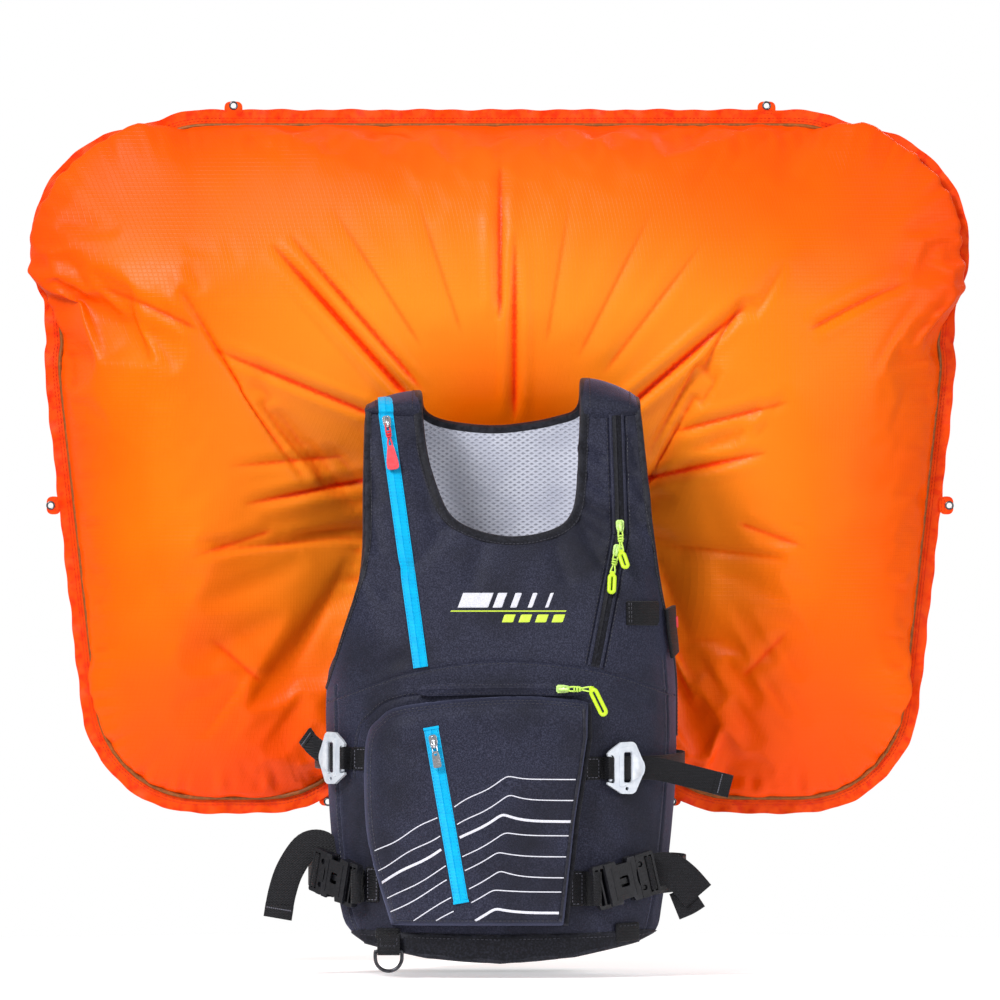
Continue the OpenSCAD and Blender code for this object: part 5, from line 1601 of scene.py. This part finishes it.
def crease_bag(verts):
    """Sharp folds on the front, short puckers along the seam on both sides, and corners that swell past it; also
    returns how much painted crease shade each point gets.
    """
    normal_y = np.sign(verts[:, 1] + 1e-6)
    flat = verts[:, [0, 2]]
    seam = resample(BAG_SEAM, 14, True)
    gap, share = line_distance(seam, flat, True)
    s = share * 2 * math.pi
    pucker = np.sin(137 * s) + 0.7 * np.sin(89 * s + 1) + 0.6 * np.sin(211 * s + 2)
    relief = 0.9 * pucker * np.exp(-((gap - 14) / 16) ** 2) + 0.6 * np.sin(61 * s) * np.exp(-((gap - 34) / 26) ** 2)
    crease_shade = np.zeros(len(verts))
    for a, b, w, depth in BAG_CREASES:
        d, along = line_distance([a, b], flat)
        fade = np.clip(2.6 * along, 0, 1) ** 0.8 * np.clip(8 * (1 - along), 0, 1)
        fold = -depth * np.exp(-np.abs(d / w) ** 1.3) + 0.5 * depth * np.exp(-((d - 2.6 * w) / (1.6 * w)) ** 2)
        relief += np.where(normal_y < 0, 1.0, 0.45) * fold * fade
        # painted shade: deeper red along each crease of the front, stronger for deeper creases
        crease_shade = np.maximum(crease_shade, np.where(normal_y < 0, depth / 7, 0) * fade * np.exp(-(d / 2.6) ** 2))
    verts[:, 1] += normal_y * relief * np.clip(gap / 14, 0, 1)
    out = soften(seam_out(seam), 6)
    out = np.vstack([out, out[:1]])
    at = (share * len(seam)) % len(seam)
    out = np.stack([np.interp(at, np.arange(len(out)), out[:, k]) for k in range(2)], axis=1)
    x, z, height = np.abs(verts[:, 0]), verts[:, 2], np.abs(verts[:, 1]) / BAG_DEPTH
    corner = np.clip((x - 335) / 60, 0, 1) * np.clip((z - 665) / 60, 0, 1)
    foot = np.clip((x - 320) / 60, 0, 1) * np.clip((350 - z) / 60, 0, 1)
    swell = (28 * corner + 14 * foot) * (1 - np.exp(-(height / 0.08) ** 2)) * (1 - np.clip(height, 0, 1)) ** 0.6
    verts[:, [0, 2]] += out * (swell * np.exp(-(gap / 60) ** 2))[:, None]
    return verts, np.clip(crease_shade, 0, 1)


def add_airbag():
    points, faces = bag_points()
    b = Build().add((points + [0, BAG_Y, 0], faces))
    bag = make("airbag_cloth", b, [RIPSTOP], stands_for=["airbag"], sharp=180)
    bag.modifiers.new("subdivide", "SUBSURF").levels = 2
    mesh = bpy.data.meshes.new_from_object(bag.evaluated_get(bpy.context.evaluated_depsgraph_get()))
    bag.modifiers.clear()
    old, bag.data = bag.data, mesh
    bpy.data.meshes.remove(old)
    co = np.zeros(len(mesh.vertices) * 3)
    mesh.vertices.foreach_get("co", co)
    co, crease_shade = crease_bag(co.reshape(-1, 3) / MM - [0, BAG_Y, 0])
    mesh.vertices.foreach_set("co", ((co + [0, BAG_Y, 0]) * MM).ravel())
    # the painted crease shade is stored as the fold attribute that the ripstop reads
    mesh.attributes.new("fold", "FLOAT", "POINT").data.foreach_set("value", crease_shade)
    mesh.update()

    line = resample(BAG_SEAM, 3.5, True)
    out = soften(seam_out(line), 4)
    s = np.linspace(0, 2 * math.pi, len(line), endpoint=False)
    ruffle = 1.5 * np.sin(97 * s) + 1.1 * np.sin(61 * s + 1) + 0.8 * np.sin(151 * s + 2)
    lean = 1.2 * np.sin(13 * s) + 0.9 * np.sin(29 * s)
    ripple = 0.6 * np.sin(97 * s + 0.8) + 0.5 * np.sin(43 * s)
    rows = []
    widths = [-3, 1, 5, 9, 13, 16.6]
    for side in (-0.7, 0.7):
        for w in (widths if side < 0 else widths[::-1]):
            away = w + ripple * max(w, 0) / FLANGE_W
            y = BAG_Y + side + (ruffle + lean) * (max(w, 0) / FLANGE_W) ** 1.4
            rows.append(at_depth(line + out * away[:, None], y))
    n, m = len(line), len(rows)
    verts = np.stack(rows, axis=1).reshape(-1, 3)
    b = Build().add((verts, tube_faces(n, m, True)))
    for w in (4.0, 7.0):
        for side in (-1, 1):
            y = BAG_Y + side * 0.8 + (ruffle + lean) * (w / FLANGE_W) ** 1.4
            b.add(stitches(at_depth(line + out * w, y), (0, side, 0), 4.4, 3.0, 0.4), 1)
    for side in (-1, 1):
        b.add(cord(at_depth(line - out, BAG_Y + side * 2.6), 2.3, True), 2)
    tabs = [(296, 941, 90), (-296, 941, 90), (499, 497, 0), (-499, 497, 180), (191, 168, -90), (-191, 168, -90)]
    for x, z, a in tabs:
        place = shift(x, BAG_Y, z) @ turn("Y", 90 - a)
        b.add(plate([round_rect(20, 15.5, 6) + [0, -3.3], arc(0, 0, 3.2, 0, 345, 23)], -1.3, 1.3), 0, place)
        box = corners(-7.5, 7.5, -9, -5.5)
        for p, q in zip(box, box[1:] + box[:1]):
            for side in (-1, 1):
                row = put(place, [(p[0], side * 1.3, p[1]), (q[0], side * 1.3, q[1])])
                b.add(stitches(row, (0, side, 0), 3.6, 2.5, 0.35), 1)
        for side in (-1, 1):
            b.add(cord(at_depth(arc(0, 0, 4.0, 0, 345, 23), side * 1.2), 1.0, True), 3, place)
    make("airbag_flange", b, [FLANGE, RED_THREAD, SEAM_TAPE, RING_METAL], stands_for=["airbag_seam"])


# ---------- inside the pack ----------

def ring_wall(outer, inner, z0, z1, place):
    """An open sleeve with a wall, drawn in X and Y."""
    n = len(outer)
    rings = [np.c_[line, np.full(n, z)] for line, z in ((outer, z0), (outer, z1), (inner, z1), (inner, z0))]
    return put(place, np.stack(rings, axis=1).reshape(-1, 3)), tube_faces(n, 4, True)


def add_insides():
    low, high = node_box("gas_cylinder")
    r = (high[0] - low[0]) / 2
    cx, cy = (high[0] + low[0]) / 2, (high[1] + low[1]) / 2
    b = Build()
    for z in (85, 200):
        circle = arc(0, 0, 1, 0, 350, 35)
        for wall, z0, z1 in ((3.2, z + 0.5, z + 17.5), (4.0, z + 3, z + 15)):
            b.add(ring_wall(circle * (r + wall), circle * (r + 1.0), z0, z1, shift(cx, cy, 0)))
        b.add(ring_wall(round_rect(43, 5, 2), round_rect(38, 1.2, 0.5), z + 0.5, z + 17.5, shift(cx, PACK_Y0 + 9, 0)))
        row = np.c_[cx + circle[:, 0] * (r + 4.1), cy + circle[:, 1] * (r + 4.1), np.full(36, z + 9.0)]
        b.add(stitches(row, np.c_[circle, np.zeros(36)]), 1)
    make("cylinder_cradle_straps", b, [WEBBING, GREY_THREAD], stands_for=["cylinder_cradle"])
    place = on_chest(-104, 450, -SHOULDER_ZIP_TURN)
    outer, inner = round_rect(24, 20.5, 5) + [0, 15.2], round_rect(20, 17, 4) + [0, 15.2]
    b = Build().add(ring_wall(outer, inner, -34, 78, place))
    for x in (-7, 7):
        b.add(stitches(put(place, [(x, 25.6, -30), (x, 25.6, 74)]), np.array(place)[:3, 1]), 1)
    make("trigger_sleeve_cloth", b, [BINDING, DARK_THREAD], stands_for=["trigger_sleeve"])
    alloy = plain("anodised_alloy", (0.26, 0.27, 0.30), (0.36, 0.37, 0.40), 0.35, 6, metal=0.9, wear=(0.7, 0.7, 0.72))
    steel = plain("brushed_steel", (0.42, 0.42, 0.43), (0.32, 0.32, 0.33), 0.3, 4, metal=1.0)
    satin = plain("cylinder_alloy", (0.50, 0.51, 0.54), (0.42, 0.43, 0.46), 0.4, 12, metal=0.85,
                  wear=(0.8, 0.8, 0.82))
    sheath = plain("cable_sheath", (0.015, 0.015, 0.016), (0.03, 0.03, 0.032), 0.5, 4)
    rubber = plain("black_rubber", (0.014, 0.014, 0.014), (0.024, 0.024, 0.024), 0.7, 3, depth=0.15)
    sheet = plain("frame_sheet", (0.02, 0.02, 0.02), (0.03, 0.03, 0.03), 0.55, 8, depth=0.1)
    low, high = node_box("valve_spring")
    t = np.linspace(0, 1, 160)
    turns, r = 5.5 * 2 * math.pi, (high[0] - low[0]) / 2 - 0.9
    coil = np.c_[(low[0] + high[0]) / 2 + r * np.cos(turns * t), (low[1] + high[1]) / 2 + r * np.sin(turns * t),
                 low[2] + 0.9 + (high[2] - low[2] - 1.8) * t]
    spring = make("valve_spring_coil", Build().add(sweep(coil, (0, 0, 1), arc(0, 0, 0.85, 0, 324, 9))), [steel],
                  stands_for=["valve_spring"])
    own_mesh(spring)
    finishes = {"ejector_body": PLASTIC, "ejector_flap": rubber, "hose": rubber, "valve_body": alloy,
                "valve_pin": steel, "gauge": alloy, "gauge_needle": RED_PLASTIC, "gas_cylinder": satin,
                "back_frame": sheet, "trigger_cable": sheath, "trigger_handle": RED_PLASTIC}
    for node, material in finishes.items():
        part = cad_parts[node]
        part.data.materials.clear()
        part.data.materials.append(material)


# ---------- studio ----------

def add_studio():
    scene = bpy.context.scene
    scene.view_settings.view_transform = "Standard"
    world = bpy.data.worlds.new("studio")
    scene.world = world
    world.use_nodes = True
    tree = world.node_tree
    soft = tree.nodes["Background"]
    soft.inputs["Color"].default_value = (1, 1, 1, 1)
    soft.inputs["Strength"].default_value = 0.40
    white = tree.nodes.new("ShaderNodeBackground")
    white.inputs["Color"].default_value = (1, 1, 1, 1)
    white.inputs["Strength"].default_value = 1.0
    mix = tree.nodes.new("ShaderNodeMixShader")
    path = tree.nodes.new("ShaderNodeLightPath")
    tree.links.new(path.outputs["Is Camera Ray"], mix.inputs[0])
    tree.links.new(soft.outputs[0], mix.inputs[1])
    tree.links.new(white.outputs[0], mix.inputs[2])
    tree.links.new(mix.outputs[0], tree.nodes["World Output"].inputs["Surface"])
    for name, at, size, energy in (("key", (-2.2, -3.0, 3.0), 1.4, 180), ("fill", (2.8, -2.6, 1.2), 1.8, 45),
                                   ("rear", (1.5, 3.0, 2.4), 2.0, 60)):
        light = bpy.data.lights.new(name, "AREA")
        light.size, light.energy = size, energy
        lamp = bpy.data.objects.new(name, light)
        lamp.location = at
        lamp.rotation_euler = (Vector((0, 0, 0.5)) - Vector(at)).to_track_quat("-Z", "Y").to_euler()
        scene.collection.objects.link(lamp)
    low = cad_box[0][2] - 0.006
    ring = arc(0, 0, 1.3, 0, 354, 59)
    mesh = bpy.data.meshes.new("floor")
    mesh.from_pydata([(x, y + 0.05, low) for x, y in ring], [], [tuple(range(60))])
    floor = bpy.data.objects.new("floor", mesh)
    scene.collection.objects.link(floor)
    s = Shader("floor", (0.93, 0.93, 0.94), 0.8)
    s.tint((0.90, 0.90, 0.91), 300)
    s.surface.inputs["Emission Color"].default_value = (1, 1, 1, 1)
    s.surface.inputs["Emission Strength"].default_value = 0.42
    mesh.materials.append(s.done())
    spot = s.node("ShaderNodeVectorMath", Vector=s.place)
    spot.operation = "LENGTH"
    s.feed(s.surface.inputs["Alpha"], s.ramp(spot.outputs["Value"], 1.25, 0.62))
    lens = bpy.data.cameras.new("camera")
    camera = bpy.data.objects.new("camera", lens)
    scene.collection.objects.link(camera)
    distance, height, width = 14.0, 0.503, 1.1
    camera.location = (0, -distance, height)
    camera.rotation_euler = (math.pi / 2, 0, 0)
    lens.lens = 36 * distance / width
    lens.clip_end = 100
    scene.camera = camera


for add in (add_airbag, add_pack, add_front_panel, add_yokes, add_neck_binding, add_armhole_bindings, add_back,
            add_pouch, add_pouch_print, add_chest_mark, add_hem, add_hem_loops, add_zips, add_sliders,
            add_hook_buckles, add_side_buckles, add_straps, add_chest_webbing, add_insides, add_studio):
    add()
